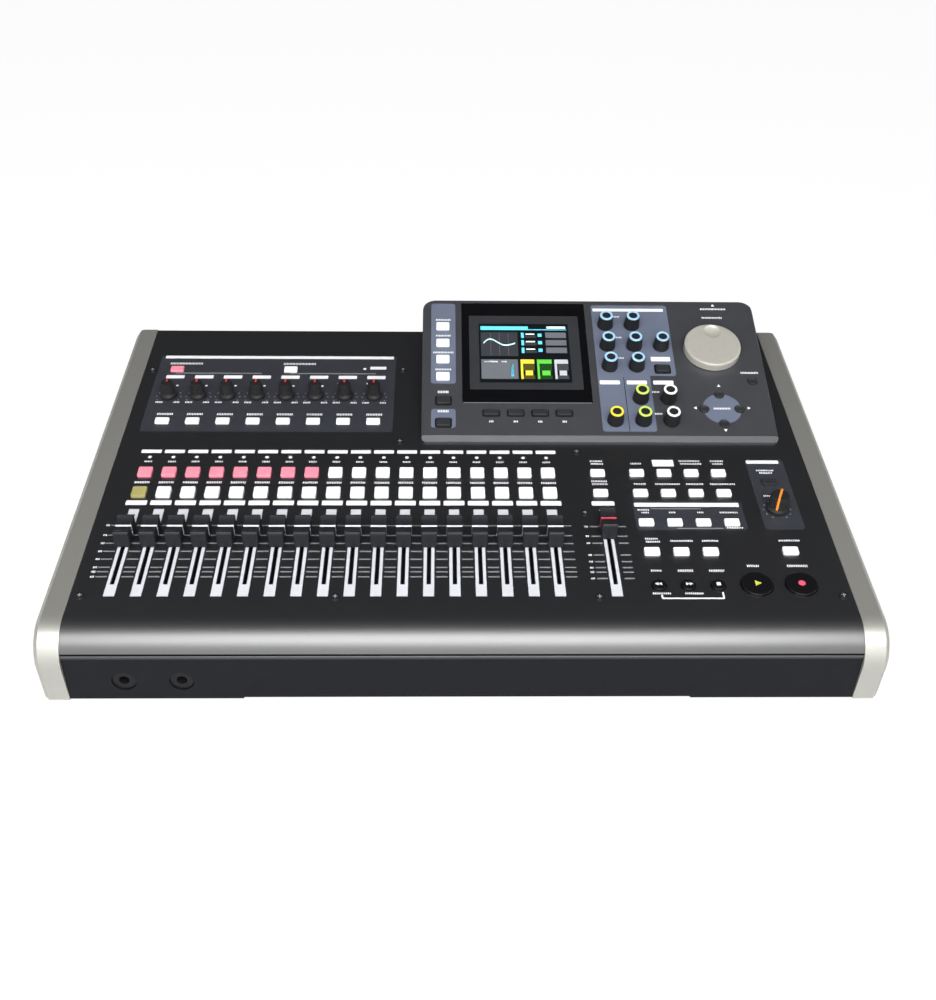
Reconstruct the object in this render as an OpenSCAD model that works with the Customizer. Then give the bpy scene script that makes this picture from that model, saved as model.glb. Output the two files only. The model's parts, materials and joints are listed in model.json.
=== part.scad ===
// Digital multitrack recorder, sizes in mm.
// Origin at the bottom centre of the housing, +X right, +Y to the rear, +Z up.

/* [Housing] */
// Overall width over the end cheeks
body_width = 514; // [480:1:560]
// Overall depth
body_depth = 340; // [330:1:360]
// Height of the top panel at mid depth
panel_height = 62.6; // [60:0.1:70]
// Slope of the top panel in degrees
panel_slope = 3.5; // [2.5:0.1:4.5]
// Sheet thickness of the top panel
panel_sheet = 2; // [1.5:0.1:2.5]
// Outer radius of the rounded nose
nose_radius = 22.85; // [20:0.05:25]
// Depth coordinate where the nose starts to bend
nose_start = -148; // [-149:0.1:-147]
// Angle of the seam between top panel and front panel above the level
seam_angle = 22.3; // [18:0.1:26]
// Gap in the seam
seam_gap = 0.4; // [0.3:0.05:0.8]
// Backward lean of the front panel in degrees
front_lean = 1; // [0:0.1:3]
// Wall of the front panel
front_wall = 2.5; // [2.2:0.1:3]
// Radius of the front panel's upper edge
front_edge = 2; // [1:0.1:2.1]
// Backward lean of a cheek's front edge below the nose in degrees
cheek_lean = 5; // [3:0.1:7]
// Thickness of an end cheek
cheek_thickness = 15.8; // [14:0.1:18]
// How far a cheek stands above the panel
cheek_proud = 0.55; // [0.3:0.05:1]
// Chamfer along the outer edge of a cheek
cheek_chamfer = 3; // [2:0.1:4]
// Plan radius of a cheek's rear outer corner
cheek_corner = 6.5; // [4:0.1:8]
// Height of the rubber feet
foot_height = 3; // [2:0.1:5]
// Diameter of the rubber feet
foot_diameter = 16; // [12:0.5:20]
// Sheet of base tray and rear panel
base_sheet = 1.5; // [1:0.1:2]
// Inset of the rear panel behind the rear edge
rear_inset = 6; // [5:0.1:8]

/* [Channels] */
// Distance between two channels
channel_pitch = 16.3; // [16:0.05:16.5]
// Space between the left end of the panel and the first channel
channel_margin = 23.6; // [22:0.1:25]
// Depth coordinate of the record keys
record_row = -11.2; // [-13:0.1:-9]
// Depth coordinate of the select keys
select_row = -32.7; // [-34:0.1:-31]

/* [Key columns] */
// Distance between the key columns on the right of the panel
grid_pitch = 18.97; // [18.5:0.01:19.2]

/* [Faders] */
// Travel of a fader
fader_travel = 60; // [55:0.5:62]
// Depth coordinate of the middle of the travel
fader_middle = -87.8; // [-89:0.1:-86]
// Where the channel caps stand in the photograph
fader_rest = -77.6; // [-100:0.1:-65]
// Where the master cap stands in the photograph
master_rest = -69.5; // [-100:0.1:-62]
// Width of a cap
cap_width = 10; // [8:0.1:11]
// Length of a cap along the travel
cap_length = 20; // [18:0.1:22]
// Height of a cap over the panel
cap_height = 12.3; // [11:0.1:14]
// Depth of the finger saddle in a cap
cap_saddle = 2.2; // [1:0.1:3]
// Thickness of the blade that carries a cap
blade_width = 1.2; // [1:0.1:1.5]
// Length of that blade
blade_length = 4.8; // [4:0.1:6]
// Width of a slide track
track_width = 10; // [9:0.1:12]

/* [Keys] */
// Width of a channel key
channel_key_width = 9.6; // [8.5:0.1:10.5]
// Length of a record key
record_key_length = 9.6; // [8.5:0.1:10.5]
// Length of a select key
select_key_length = 10.2; // [9:0.1:11]
// Width of a function key
function_key_width = 10; // [9:0.1:11]
// Length of a function key
function_key_length = 6.5; // [6:0.1:7.5]
// Diameter of a small transport key
transport_small = 9; // [8:0.1:10]
// Diameter of the two large transport keys
transport_large = 20; // [18:0.1:21]
// Diameter of the cursor keys
cursor_key = 7; // [6:0.1:7.5]
// How far a key stands out of its panel
key_proud = 1.8; // [1.5:0.1:2.5]
// Travel of a key
key_travel = 1; // [0.8:0.1:1.2]
// Clearance around keys, blades and shafts
clearance = 0.4; // [0.3:0.05:0.5]

/* [Knobs] */
// Diameter of a trim knob at its foot
trim_foot = 12; // [11:0.1:13]
// Diameter of a trim knob at its top
trim_top = 9; // [8:0.1:10]
// Height of a trim knob
trim_height = 13; // [11:0.1:15]
// Distance between trim knobs
trim_pitch = 21.8; // [21:0.05:22]
// Diameter of an encoder knob at its foot
encoder_foot = 12; // [11:0.1:13]
// Diameter of an encoder knob at its top
encoder_top = 9.8; // [9:0.1:10.5]
// Height of an encoder knob
encoder_height = 12; // [10:0.1:14]
// Diameter of the level knob
level_diameter = 14; // [13:0.1:15]
// Height of the level knob
level_height = 13; // [11:0.1:15]
// Diameter of the jog wheel
jog_diameter = 42.4; // [40:0.1:44]
// Height of the jog wheel
jog_height = 7; // [6:0.1:9]
// Radius of the finger dimple in the jog wheel
dimple_radius = 6.6; // [5:0.1:7]
// Diameter of the knob shafts
shaft_diameter = 6; // [5:0.1:6.5]
// Gap under a knob
knob_gap = 0.5; // [0.4:0.05:0.8]

/* [Display pod] */
// Tilt of the pod face in degrees
pod_tilt = 17; // [16:0.1:18]
// Space between the pod and the right end of the panel
pod_margin = 13.7; // [13:0.1:15]
// Width of the pod
pod_width = 256; // [254:0.1:258]
// Depth coordinate of the pod's front foot
pod_front = 22.2; // [21.5:0.1:23]
// Height of the face's front edge over the panel
pod_lip = 5.1; // [4.8:0.1:6]
// Chamfer along the front edge of the face
lip_chamfer = 3.3; // [2.5:0.1:3.6]
// Chamfer along both sides of the face
side_chamfer = 1; // [0.6:0.1:1.5]
// Length of the face from front to rear
pod_face = 135.4; // [134.5:0.1:137]
// Wall of the pod shell
pod_wall = 2.5; // [2:0.1:3]
// Radius of the rear corners of the face
pod_corner = 10; // [8:0.5:12]
// Radius of the front corners of the face
pod_front_corner = 4; // [3:0.5:6]
// Thickness of the screen window
window_thickness = 1.4; // [1.2:0.1:1.8]
// Depth of the recess that holds the window
window_recess = 1; // [0.8:0.1:1.1]

/* [Inside] */
// Depth of the control boards under their panels
board_depth = 10; // [9.5:0.1:11]
// Thickness of a circuit board
board_sheet = 1.6; // [1.2:0.1:2]
// Height of the lower circuit board over the floor
lower_board = 14; // [12:0.5:18]

/* [Sockets] */
// Radius of a 6.3 mm jack bore
jack_bore = 3.2; // [3.15:0.05:3.3]
// Depth of a jack bore
jack_depth = 22; // [18:0.5:26]
// Height of the front jacks over the floor
front_jack_z = 18; // [16:0.1:20]
// Diameter of the recess around a front jack
front_jack_hole = 15; // [13:0.1:16]
// Height of the rear sockets over the floor
rear_socket_z = 42; // [36:0.5:46]
// Diameter of a combination socket
combo_diameter = 22; // [20:0.5:22.5]
// Rim of a combination socket on the rear panel
combo_rim = 1; // [0.5:0.1:1.2]

/* [Hidden] */
$fn = 48;
half_width = body_width / 2;
half_depth = body_depth / 2;
inner_half = half_width - cheek_thickness;
function panel_z(y) = panel_height + tan(panel_slope) * y;
function pv(y) = y / cos(panel_slope);
nose_y = nose_start + nose_radius * sin(panel_slope);
nose_z = panel_z(nose_start) - nose_radius * cos(panel_slope);
panel_rear = half_depth - 0.2;
rear_face = half_depth - rear_inset;
floor_top = foot_height + base_sheet;
seam_z = nose_z + nose_radius * sin(seam_angle);
front_end_y = nose_y - nose_radius * cos(seam_angle);
front_end_z = seam_z - seam_gap;
front_length = (front_end_z - foot_height) / cos(front_lean);
slot_width = blade_width + 2 * clearance;
slot_length = fader_travel + blade_length + 2 * clearance;
track_length = slot_length + 14;
flange_gap = 0.3;
key_flange = 1;
shaft_hole = shaft_diameter + 2 * clearance;
pod_right = inner_half - pod_margin;
pod_left = pod_right - pod_width;
pod_y = pod_front + lip_chamfer;
pod_z = panel_z(pod_front) + pod_lip;
pod_top_y = pod_y + pod_face * cos(pod_tilt);
pod_top_z = pod_z + pod_face * sin(pod_tilt);
pod_height = (pod_top_z - panel_z(pod_top_y)) / (cos(pod_tilt) + tan(panel_slope) * sin(pod_tilt));
pod_rear = pod_top_y + pod_height * sin(pod_tilt);
dark = [0.13, 0.14, 0.16];
charcoal = [0.27, 0.27, 0.29];
silver = [0.62, 0.62, 0.59];
white_key = [0.95, 0.95, 0.95];
steel = [0.55, 0.56, 0.58];
black = [0.05, 0.05, 0.06];
board_green = [0.10, 0.32, 0.20];

// Places across the panel and across the pod, written for the widths in the photograph
// and spread with the width
function px(x) = x * inner_half / 241.2;
function qx(x) = pod_left + (x + 28.5) * pod_width / 256;
function px_places(places) = [for (p = places) [px(p[0]), p[1]]];
function qx_places(places) = [for (p = places) [qx(p[0]), p[1]]];

channel_x = [for (i = [0 : 17]) px(channel_margin - 241.2 + channel_pitch * i)];
master_x = px(94.7);
fader_x = concat(channel_x, [master_x]);
trim_x = [for (i = [0 : 7]) px(-217 + trim_pitch * i)];
trim_row = 78.9;
grid_x = [for (i = [0 : 3]) px(121.2 + grid_pitch * i)];
source_keys = [for (x = trim_x) [x + 0.6, 47.6]];
grid_keys = [for (y = [-11, -32.6, -63], x = grid_x) [x, y]];
lower_keys = [for (i = [0 : 2]) [grid_x[i], -91.2]];
other_keys = concat(px_places([[-216.3, 113.9], [-129.7, 113.9], [211, -90.5], [211.3, -20.8]]),
  [[master_x - 0.7, record_row], [master_x - 0.7, select_row]]);
function_keys = concat(source_keys, grid_keys, lower_keys, other_keys);
record_keys = [for (x = channel_x) [x, record_row]];
select_keys = [for (x = channel_x) [x, select_row]];
small_keys = px_places([[121.6, -122], [139.9, -122], [158.7, -122]]);
large_keys = px_places([[183.1, -121.2], [211.1, -121.2]]);
level_place = [px(211.3), -49];
screw_places = concat(px_places([[-235.2, -130.7], [-79.3, -131.8], [83.4, -131.8], [235.2, -130.7],
  [-235.2, 113.4], [81.5, 13.1], [81.5, -52.8]]), [[pod_left - 15.3, 115], [pod_left - 15.3, 24.7]]);
boss_places = px_places([[-228, -140], [-90, -140], [50, -140], [225, -140], [-228, 20], [-90, 24],
  [60, 4], [230, 10], [-226, 128], [-55, 98]]);

pod_white = [for (s = [106.8, 89.5, 72.8, 55.6]) [qx(-13.1), s]];
pod_dark = qx_places([[-12.7, 32.5], [-12.7, 11.5]]);
pod_wide = [for (i = [0 : 3]) [qx(21.9 + 17.64 * i), 20.8]];
pod_single = [[qx(150.8), 64.3]];
pod_round = qx_places([[189.8, 39.2], [177.1, 25.4], [202.9, 25.4], [190, 11.6], [216.5, 52.6]]);
encoder_places = qx_places([[111.2, 108.8], [131.5, 108.8], [111.2, 87], [131.5, 87], [151.8, 87],
  [111.2, 66.2], [131.5, 66.2], [111.2, 13.3], [131.5, 34.3], [131.5, 13.3], [151.8, 34.3],
  [151.8, 13.3]]);
jog_place = [qx(189.9), 83.5];
window_low = [qx(1.1), 30.3];
window_high = [qx(96.3), 132.4];
screen_low = [qx(14), 50];
screen_high = [qx(82.8), 110.2];
lcd_low = [qx(7), 44];
lcd_high = [qx(90.5), 117];
pod_bosses = qx_places([[-22, 124], [100, 124], [164, 120], [219, 124], [-20, 4.5], [100, 5],
  [166, 6], [220, 6]]);
front_jacks = [px(-206.2), px(-171.4)];
combo_x = [for (i = [0 : 7]) px(-222 + 26 * i)];
line_x = [for (i = [0 : 3]) px(-8 + 22 * i)];
phono_x = px(82);
phono_z = [rear_socket_z + 8, rear_socket_z - 8];
round_x = [px(106), px(132)];
data_x = px(158);
inlet_x = px(182);
switch_x = px(208);
standoffs = px_places([[-215, 80], [0, 80], [215, 80], [-215, 130], [0, 130], [215, 130]]);

// Points of a rectangle with rounded corners, centred on the origin
function rounded(w, h, r) = [for (k = [0 : 3], i = [0 : 4])
  let (a = 90 * k + 22.5 * i, cx = (k == 0 || k == 3 ? 1 : -1) * (w / 2 - r),
    cy = (k < 2 ? 1 : -1) * (h / 2 - r))
  [cx + r * cos(a), cy + r * sin(a)]];

// Whole panel plane, origin at mid depth
module panel_frame(lift) {
  translate([0, 0, panel_height])
    rotate([panel_slope, 0, 0])
      translate([0, 0, lift])
        children();
}

// One place on the top panel
module on_panel(place, lift) {
  panel_frame(lift)
    translate([place[0], pv(place[1]), 0])
      children();
}

// Whole pod face, origin at the middle of its front edge
module pod_frame(lift) {
  translate([0, pod_y, pod_z])
    rotate([pod_tilt, 0, 0])
      translate([0, 0, lift])
        children();
}

// Front panel plane, origin at its upper edge, local z outwards
module front_frame(out) {
  translate([0, front_end_y, front_end_z])
    rotate([90 + front_lean, 0, 0])
      translate([0, 0, out])
        children();
}

// Profile in the depth and height plane, drawn along X
module along_x(x0, x1) {
  translate([x0, 0, 0])
    rotate([90, 0, 90])
      linear_extrude(x1 - x0)
        children();
}

// Outlines of one kind of key at its places
module key_shapes(places, w, h, grow) {
  for (p = places)
    translate([p[0], p[1]])
      polygon(rounded(w + 2 * grow, h + 2 * grow, 1 + grow));
}

module round_shapes(places, d, grow) {
  for (p = places)
    translate([p[0], p[1]])
      circle(d = d + 2 * grow);
}

function on_v(places) = [for (p = places) [p[0], pv(p[1])]];

// Keys of one bank: caps through the panel, flanges below it, plungers towards the switches
module key_bank(sheet) {
  translate([0, 0, -sheet - flange_gap - key_flange / 2])
    linear_extrude(sheet + flange_gap + key_flange / 2 + key_proud)
      children(0);
  translate([0, 0, -sheet - flange_gap - key_flange])
    linear_extrude(key_flange)
      children(1);
  translate([0, 0, 1 + key_travel + clearance - board_depth])
    linear_extrude(board_depth - 1 - key_travel - clearance - sheet - flange_gap - key_flange / 2)
      children(2);
}

module channel_shapes(grow) {
  key_shapes(on_v(record_keys), channel_key_width, record_key_length, grow);
  key_shapes(on_v(select_keys), channel_key_width, select_key_length, grow);
}

module function_shapes(grow) {
  key_shapes(on_v(function_keys), function_key_width, function_key_length, grow);
}

module transport_shapes(grow) {
  round_shapes(on_v(small_keys), transport_small, grow);
  round_shapes(on_v(large_keys), transport_large, grow);
}

module pod_key_shapes(grow) {
  key_shapes(concat(pod_white, pod_dark), function_key_width, function_key_length + 0.8, grow);
  key_shapes(pod_wide, 11, 5, grow);
  key_shapes(pod_single, function_key_width, function_key_length, grow);
  round_shapes(pod_round, cursor_key, grow);
}

// Fader slots in the panel and in the tracks
module slot_shapes() {
  for (x = fader_x)
    translate([x - slot_width / 2, pv(fader_middle) - slot_length / 2])
      square([slot_width, slot_length]);
}

module panel_holes() {
  channel_shapes(clearance);
  function_shapes(clearance);
  transport_shapes(clearance);
  slot_shapes();
  round_shapes(on_v([for (x = trim_x) [x, trim_row]]), shaft_diameter, clearance);
  round_shapes(on_v([level_place]), shaft_diameter, clearance);
  round_shapes(on_v(screw_places), 3, clearance);
  translate([pod_left + 5, pv(pod_front + 5)])
    square([pod_width - 10, pv(pod_rear - 14) - pv(pod_front + 5)]);
}

// Everything under a surface that runs flat into the nose, sunk below the panel's top face
module under_panel(sunk) {
  r = nose_radius - sunk;
  rear = 2 * half_depth;
  translate([nose_y, nose_z])
    circle(r = r, $fn = 180);
  polygon([[nose_y, nose_z], [rear, nose_z], [rear, panel_z(rear) - sunk / cos(panel_slope)],
    [nose_y - r * sin(panel_slope), nose_z + r * cos(panel_slope)]]);
}

// Flat sheet that runs into the rounded nose and ends at the seam
module sheet_profile() {
  far = 2 * nose_radius;
  intersection() {
    difference() {
      under_panel(0);
      under_panel(panel_sheet);
    }
    polygon([[nose_y - far, seam_z], [nose_y - far, nose_z + 4 * far], [panel_rear, nose_z + 4 * far],
      [panel_rear, seam_z]]);
  }
}

module top_panel() {
  color(dark) {
    difference() {
      along_x(-inner_half, inner_half)
        sheet_profile();
      panel_frame(-panel_sheet - 1)
        linear_extrude(panel_sheet + 2)
          panel_holes();
    }
    panel_frame(-board_depth)
      linear_extrude(board_depth - panel_sheet / 2)
        round_shapes(on_v(boss_places), 6, 0);
  }
}

// Flat plate below the seam with a rounded upper edge
module front_profile() {
  translate([front_end_y, front_end_z])
    rotate(front_lean) {
      translate([front_edge, -front_edge])
        circle(r = front_edge, $fn = 96);
      translate([front_edge, -front_length])
        square([front_wall - front_edge, front_length]);
      translate([0, -front_length])
        square([front_wall, front_length - front_edge]);
    }
}

module front_panel() {
  low_y = -front_length;
  inner_y = front_end_y + front_wall - 0.5;
  color(dark) {
    difference() {
      along_x(-inner_half, inner_half)
        front_profile();
      front_frame(-front_wall - 1)
        linear_extrude(front_wall + 2)
          for (x = front_jacks)
            translate([x, (front_jack_z - front_end_z) / cos(front_lean)])
              circle(d = front_jack_hole);
      front_frame(-1)
        linear_extrude(3)
          polygon(px_places([[-136, low_y - 1], [-131, low_y + 7], [-125, low_y + 15], [-118, low_y + 19],
            [122, low_y + 19], [129, low_y + 15], [135, low_y + 7], [141, low_y - 1]]));
    }
    along_x(-inner_half + 6, inner_half - 6)
      polygon([[inner_y, floor_top], [front_end_y + 16, floor_top], [front_end_y + 16, floor_top + 2],
        [inner_y, floor_top + 2]]);
  }
}

module cheek_profile() {
  r = nose_radius + cheek_proud;
  top = cheek_proud / cos(panel_slope);
  cheek_y = nose_y - r * cos(cheek_lean);
  cheek_z = nose_z - r * sin(cheek_lean);
  translate([nose_y, nose_z])
    circle(r = r, $fn = 180);
  polygon([[nose_y, nose_z], [cheek_y, cheek_z],
    [cheek_y + tan(cheek_lean) * (cheek_z - foot_height + 0.5), foot_height - 0.5],
    [half_depth, foot_height - 0.5], [half_depth, panel_z(half_depth) + top],
    [nose_y - r * sin(panel_slope), nose_z + r * cos(panel_slope)]]);
}

module cheek() {
  r = nose_radius + cheek_proud;
  c = cheek_chamfer;
  edge = [[half_width + 1, -c - 1], [half_width + 1, 1], [half_width - c - 1, 1]];
  color(silver)
    difference() {
      along_x(inner_half, half_width)
        cheek_profile();
      translate([0, nose_y, nose_z])
        rotate([panel_slope, 0, 0])
          translate([0, 0, r])
            rotate([90, 0, 180])
              linear_extrude(2 * half_depth)
                polygon([for (p = edge) [-p[0], p[1]]]);
      translate([0, nose_y, nose_z])
        rotate([90 + cheek_lean, 0, 0])
          translate([0, 0, r])
            rotate([90, 0, 0])
              linear_extrude(front_length + 20)
                polygon(edge);
      translate([half_width - cheek_corner, half_depth - cheek_corner, -1])
        linear_extrude(2 * panel_height)
          difference() {
            square(2 * cheek_corner);
            circle(r = cheek_corner);
          }
      intersection() {
        translate([0, nose_y, nose_z])
          rotate([0, 90, 0])
            rotate_extrude($fn = 180)
              polygon([for (p = edge) [p[1] + r, p[0]]]);
        along_x(inner_half, half_width + 2)
          polygon([[nose_y, nose_z], for (a = [90 + panel_slope, 135, 180 + cheek_lean])
            [nose_y + 2 * r * cos(a), nose_z + 2 * r * sin(a)]]);
      }
    }
}

module left_cheek() {
  mirror([1, 0, 0])
    cheek();
}

module right_cheek() {
  cheek();
}

module base_tray() {
  front = front_end_y + 5;
  color(steel) {
    translate([-inner_half, front, foot_height])
      cube([2 * inner_half, rear_face - front, base_sheet]);
    for (x = [-inner_half, inner_half - base_sheet])
      translate([x, front + 6, foot_height])
        cube([base_sheet, rear_face - front - 6, 37]);
    for (p = standoffs)
      translate([p[0], p[1], floor_top - 0.5])
        cylinder(d = 7, h = lower_board - floor_top + 0.5);
  }
}

module rear_panel() {
  low = rear_face - base_sheet;
  under = panel_sheet / cos(panel_slope);
  color(dark)
    difference() {
      along_x(-inner_half + base_sheet, inner_half - base_sheet)
        polygon([[low, floor_top], [rear_face, floor_top], [rear_face, panel_z(rear_face) - under],
          [low, panel_z(low) - under]]);
      translate([0, rear_face + 1, rear_socket_z])
        rotate([90, 0, 0])
          linear_extrude(base_sheet + 2) {
            round_shapes([for (x = combo_x) [x, 0]], combo_diameter, clearance);
            round_shapes([for (x = line_x) [x, 0]], 9, clearance);
            round_shapes([for (z = phono_z) [phono_x, z - rear_socket_z]], 7, clearance);
            round_shapes([for (x = round_x) [x, 0]], 15, clearance);
            translate([data_x - 6 - clearance, -5.5 - clearance])
              square([12 + 2 * clearance, 11 + 2 * clearance]);
            round_shapes([[inlet_x, 0]], 9, clearance);
            round_shapes([[switch_x, 0]], 9, clearance);
          }
    }
}

// Outline of the pod seen square to its face, front corners at the foot of the lip
module pod_outline(inset) {
  r = pod_corner - inset;
  f = pod_front_corner - inset / 2;
  x0 = pod_left + inset;
  x1 = pod_right - inset;
  s0 = inset - lip_chamfer * cos(pod_tilt) - pod_lip * sin(pod_tilt);
  s1 = pod_face - inset;
  translate([x0 + r, s0 + f])
    square([x1 - x0 - 2 * r, s1 - s0 - f]);
  translate([x0, s0 + f])
    square([x1 - x0, s1 - s0 - f - r]);
  translate([x0 + f, s0])
    square([x1 - x0 - 2 * f, s1 - s0 - r]);
  for (x = [x0 + r, x1 - r])
    translate([x, s1 - r])
      circle(r = r);
  for (x = [x0 + f, x1 - f])
    translate([x, s0 + f])
      circle(r = f);
}

// Side view of the pod: upright lip, chamfer, face, and a rear wall square to the face
module pod_profile() {
  polygon([[pod_front, panel_z(pod_front)], [pod_front, pod_z - lip_chamfer], [pod_y, pod_z],
    [pod_top_y, pod_top_z], [pod_rear, panel_z(pod_rear)]]);
}

module pod_inner_profile() {
  in_y = pod_front + lip_chamfer;
  in_z = pod_z - pod_wall / cos(pod_tilt);
  back = pod_top_y - pod_wall * cos(pod_tilt) - pod_wall * sin(pod_tilt);
  polygon([[in_y, panel_z(in_y) - 4], [in_y, in_z], [back, in_z + tan(pod_tilt) * (back - in_y)],
    [pod_rear - pod_wall, panel_z(pod_rear) - 4]]);
}

// The pod across its width, with a chamfer along both sides of the face
module pod_section() {
  c = side_chamfer;
  low = -2 * pod_height;
  polygon([[pod_left, low], [pod_right, low], [pod_right, -c], [pod_right - c, 0], [pod_left + c, 0],
    [pod_left, -c]]);
}

module display_pod() {
  reach = pod_face + 2 * pod_lip;
  color(charcoal) {
    difference() {
      intersection() {
        along_x(pod_left - 1, pod_right + 1)
          pod_profile();
        pod_frame(-2 * pod_height)
          linear_extrude(2 * pod_height + 1)
            pod_outline(0);
        pod_frame(0)
          translate([0, reach, 0])
            rotate([90, 0, 0])
              linear_extrude(reach + 4 * pod_lip)
                pod_section();
      }
      intersection() {
        along_x(pod_left - 1, pod_right + 1)
          pod_inner_profile();
        pod_frame(-2 * pod_height)
          linear_extrude(2 * pod_height + 1)
            pod_outline(pod_wall);
      }
      pod_frame(-pod_wall - 2)
        linear_extrude(pod_wall + 4) {
          pod_key_shapes(clearance);
          round_shapes(encoder_places, shaft_diameter, clearance);
          round_shapes([jog_place], shaft_diameter + 2, clearance);
          translate(screen_low)
            square(screen_high - screen_low);
        }
      pod_frame(-window_recess)
        linear_extrude(5)
          translate(window_low)
            square(window_high - window_low);
    }
    pod_frame(-board_depth)
      linear_extrude(board_depth - pod_wall / 2)
        round_shapes(pod_bosses, 5, 0);
  }
}

module screen_window() {
  color(black)
    pod_frame(-window_recess)
      linear_extrude(window_thickness)
        translate(window_low)
          square(window_high - window_low);
}

module lcd_module() {
  color(steel)
    pod_frame(-8)
      linear_extrude(8 - pod_wall)
        translate(lcd_low)
          square(lcd_high - lcd_low);
}

// Closed channels that the blades run in, open towards the slots of the panel
module fader_tracks() {
  color(steel)
    difference() {
      panel_frame(-board_depth)
        linear_extrude(board_depth - panel_sheet)
          for (x = fader_x)
            translate([x - track_width / 2, pv(fader_middle) - track_length / 2])
              square([track_width, track_length]);
      panel_frame(1 - board_depth)
        linear_extrude(board_depth)
          slot_shapes();
    }
}

// Bodies of pots or encoders with a round hole for the shaft
module shaft_bodies(places, size, hole) {
  difference() {
    for (p = places)
      translate([p[0] - size / 2, p[1] - size / 2])
        square(size);
    round_shapes(places, hole, 0);
  }
}

module switch_bodies(places) {
  for (p = places)
    translate([p[0] - 3, p[1] - 3])
      square(6);
}

module circuit_boards() {
  left = -inner_half + 8;
  panel_keys = concat(record_keys, select_keys, function_keys, small_keys, large_keys);
  pod_keys = concat(pod_white, pod_dark, pod_wide, pod_single, pod_round);
  color(board_green) {
    panel_frame(-board_depth - board_sheet)
      linear_extrude(board_sheet)
        polygon([[left, pv(nose_start + 5)], [-left, pv(nose_start + 5)], [-left, pv(16)],
          [trim_x[7] + 18.4, pv(16)], [trim_x[7] + 18.4, pv(133)], [left, pv(133)]]);
    panel_frame(-board_depth)
      linear_extrude(board_depth - panel_sheet - 2.5)
        shaft_bodies(on_v(concat([for (x = trim_x) [x, trim_row]], [level_place])), 11, shaft_hole);
    panel_frame(-board_depth)
      linear_extrude(1)
        switch_bodies(on_v(panel_keys));
    pod_frame(-board_depth - board_sheet)
      linear_extrude(board_sheet)
        translate([pod_left + 5, 4])
          square([pod_width - 10, pod_face - 9]);
    pod_frame(-board_depth)
      linear_extrude(board_depth - pod_wall - 1.5) {
        shaft_bodies(encoder_places, 12, shaft_hole);
        shaft_bodies([jog_place], 20, shaft_hole + 2);
      }
    pod_frame(-board_depth)
      linear_extrude(1)
        switch_bodies(pod_keys);
    translate([-inner_half + 16, 68, lower_board])
      cube([2 * inner_half - 32, 74, board_sheet]);
  }
}

// One 6.3 mm socket, mouth at local z = 0, flange behind the panel at depth set_back
module front_socket(set_back) {
  difference() {
    union() {
      translate([0, 0, -jack_depth - 4])
        cylinder(d = front_jack_hole - 2 * clearance, h = jack_depth + 4);
      translate([0, 0, -set_back - 3])
        cylinder(d = front_jack_hole + 5, h = 3);
    }
    translate([0, 0, -jack_depth])
      cylinder(r = jack_bore, h = jack_depth + 1);
  }
}

// One rear socket: barrel through the panel, flange on its outer face, mouth at local z = proud
module rear_socket(d, flange, proud, bore, depth) {
  difference() {
    union() {
      translate([0, 0, -depth - 2])
        cylinder(d = d, h = depth + 2 + proud);
      cylinder(d = flange, h = min(proud, 1.6));
    }
    translate([0, 0, proud - depth])
      cylinder(d = bore, h = depth + 1);
  }
}

module jack_sockets() {
  color(black) {
    for (x = front_jacks)
      front_frame(-1)
        translate([x, (front_jack_z - front_end_z) / cos(front_lean), 0])
          front_socket(front_wall - 1);
    translate([0, rear_face, rear_socket_z])
      rotate([-90, 0, 0]) {
        for (x = combo_x)
          translate([x, 0, 0])
            rear_socket(combo_diameter, combo_diameter + 2 * combo_rim, 1.6, 2 * jack_bore, jack_depth);
        for (x = line_x)
          translate([x, 0, 0])
            rear_socket(9, 12.5, 3, 2 * jack_bore, jack_depth);
        for (z = phono_z)
          translate([phono_x, rear_socket_z - z, 0])
            rear_socket(7, 10, 5, 3.4, 9);
        for (x = round_x)
          translate([x, 0, 0])
            rear_socket(15, 18, 1, 11, 7);
        rear_socket_square();
        translate([inlet_x, 0, 0])
          rear_socket(9, 12, 2, 5.6, 9);
      }
  }
}

module rear_socket_square() {
  difference() {
    union() {
      translate([data_x - 6, -5.5, -12])
        cube([12, 11, 13]);
      translate([data_x - 7.5, -7, 0])
        cube([15, 14, 1]);
    }
    translate([data_x - 4.2, -3.9, -8])
      cube([8.4, 7.8, 10]);
  }
}

module panel_screws() {
  color(black)
    for (p = screw_places)
      on_panel(p, 0) {
        difference() {
          cylinder(d = 5.6, h = 1);
          translate([-2, -0.4, 0.5])
            cube([4, 0.8, 1]);
          translate([-0.4, -2, 0.5])
            cube([0.8, 4, 1]);
        }
        translate([0, 0, -6])
          cylinder(d = 3, h = 6.5);
      }
}

module rubber_feet() {
  color(black)
    for (x = [-inner_half + 26, inner_half - 26], y = [front_end_y + 25.75, half_depth - 34])
      translate([x, y, 0])
        cylinder(d = foot_diameter, h = foot_height);
}

// Cap with a finger saddle and its blade, standing at a place along the travel
module fader(x, y) {
  h = cap_height;
  l = cap_length / 2;
  arc_r = (l * l * 0.64 + cap_saddle * cap_saddle) / (2 * cap_saddle);
  color(charcoal)
    on_panel([x, y], 0) {
      translate([-cap_width / 2, 0, 0])
        rotate([90, 0, 90])
          linear_extrude(cap_width)
            difference() {
              polygon([[-l, 0.8], [l, 0.8], [l - 0.6, h - 1.4], [l - 1.4, h], [1.4 - l, h],
                [0.6 - l, h - 1.4]]);
              translate([0, h - cap_saddle + arc_r])
                circle(r = arc_r, $fn = 180);
            }
      translate([-blade_width / 2, -blade_length / 2, -7])
        cube([blade_width, blade_length, 8.5]);
    }
}

module channel_fader(i) {
  fader(channel_x[i], fader_rest);
}

module master_fader() {
  fader(master_x, master_rest);
}

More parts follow.
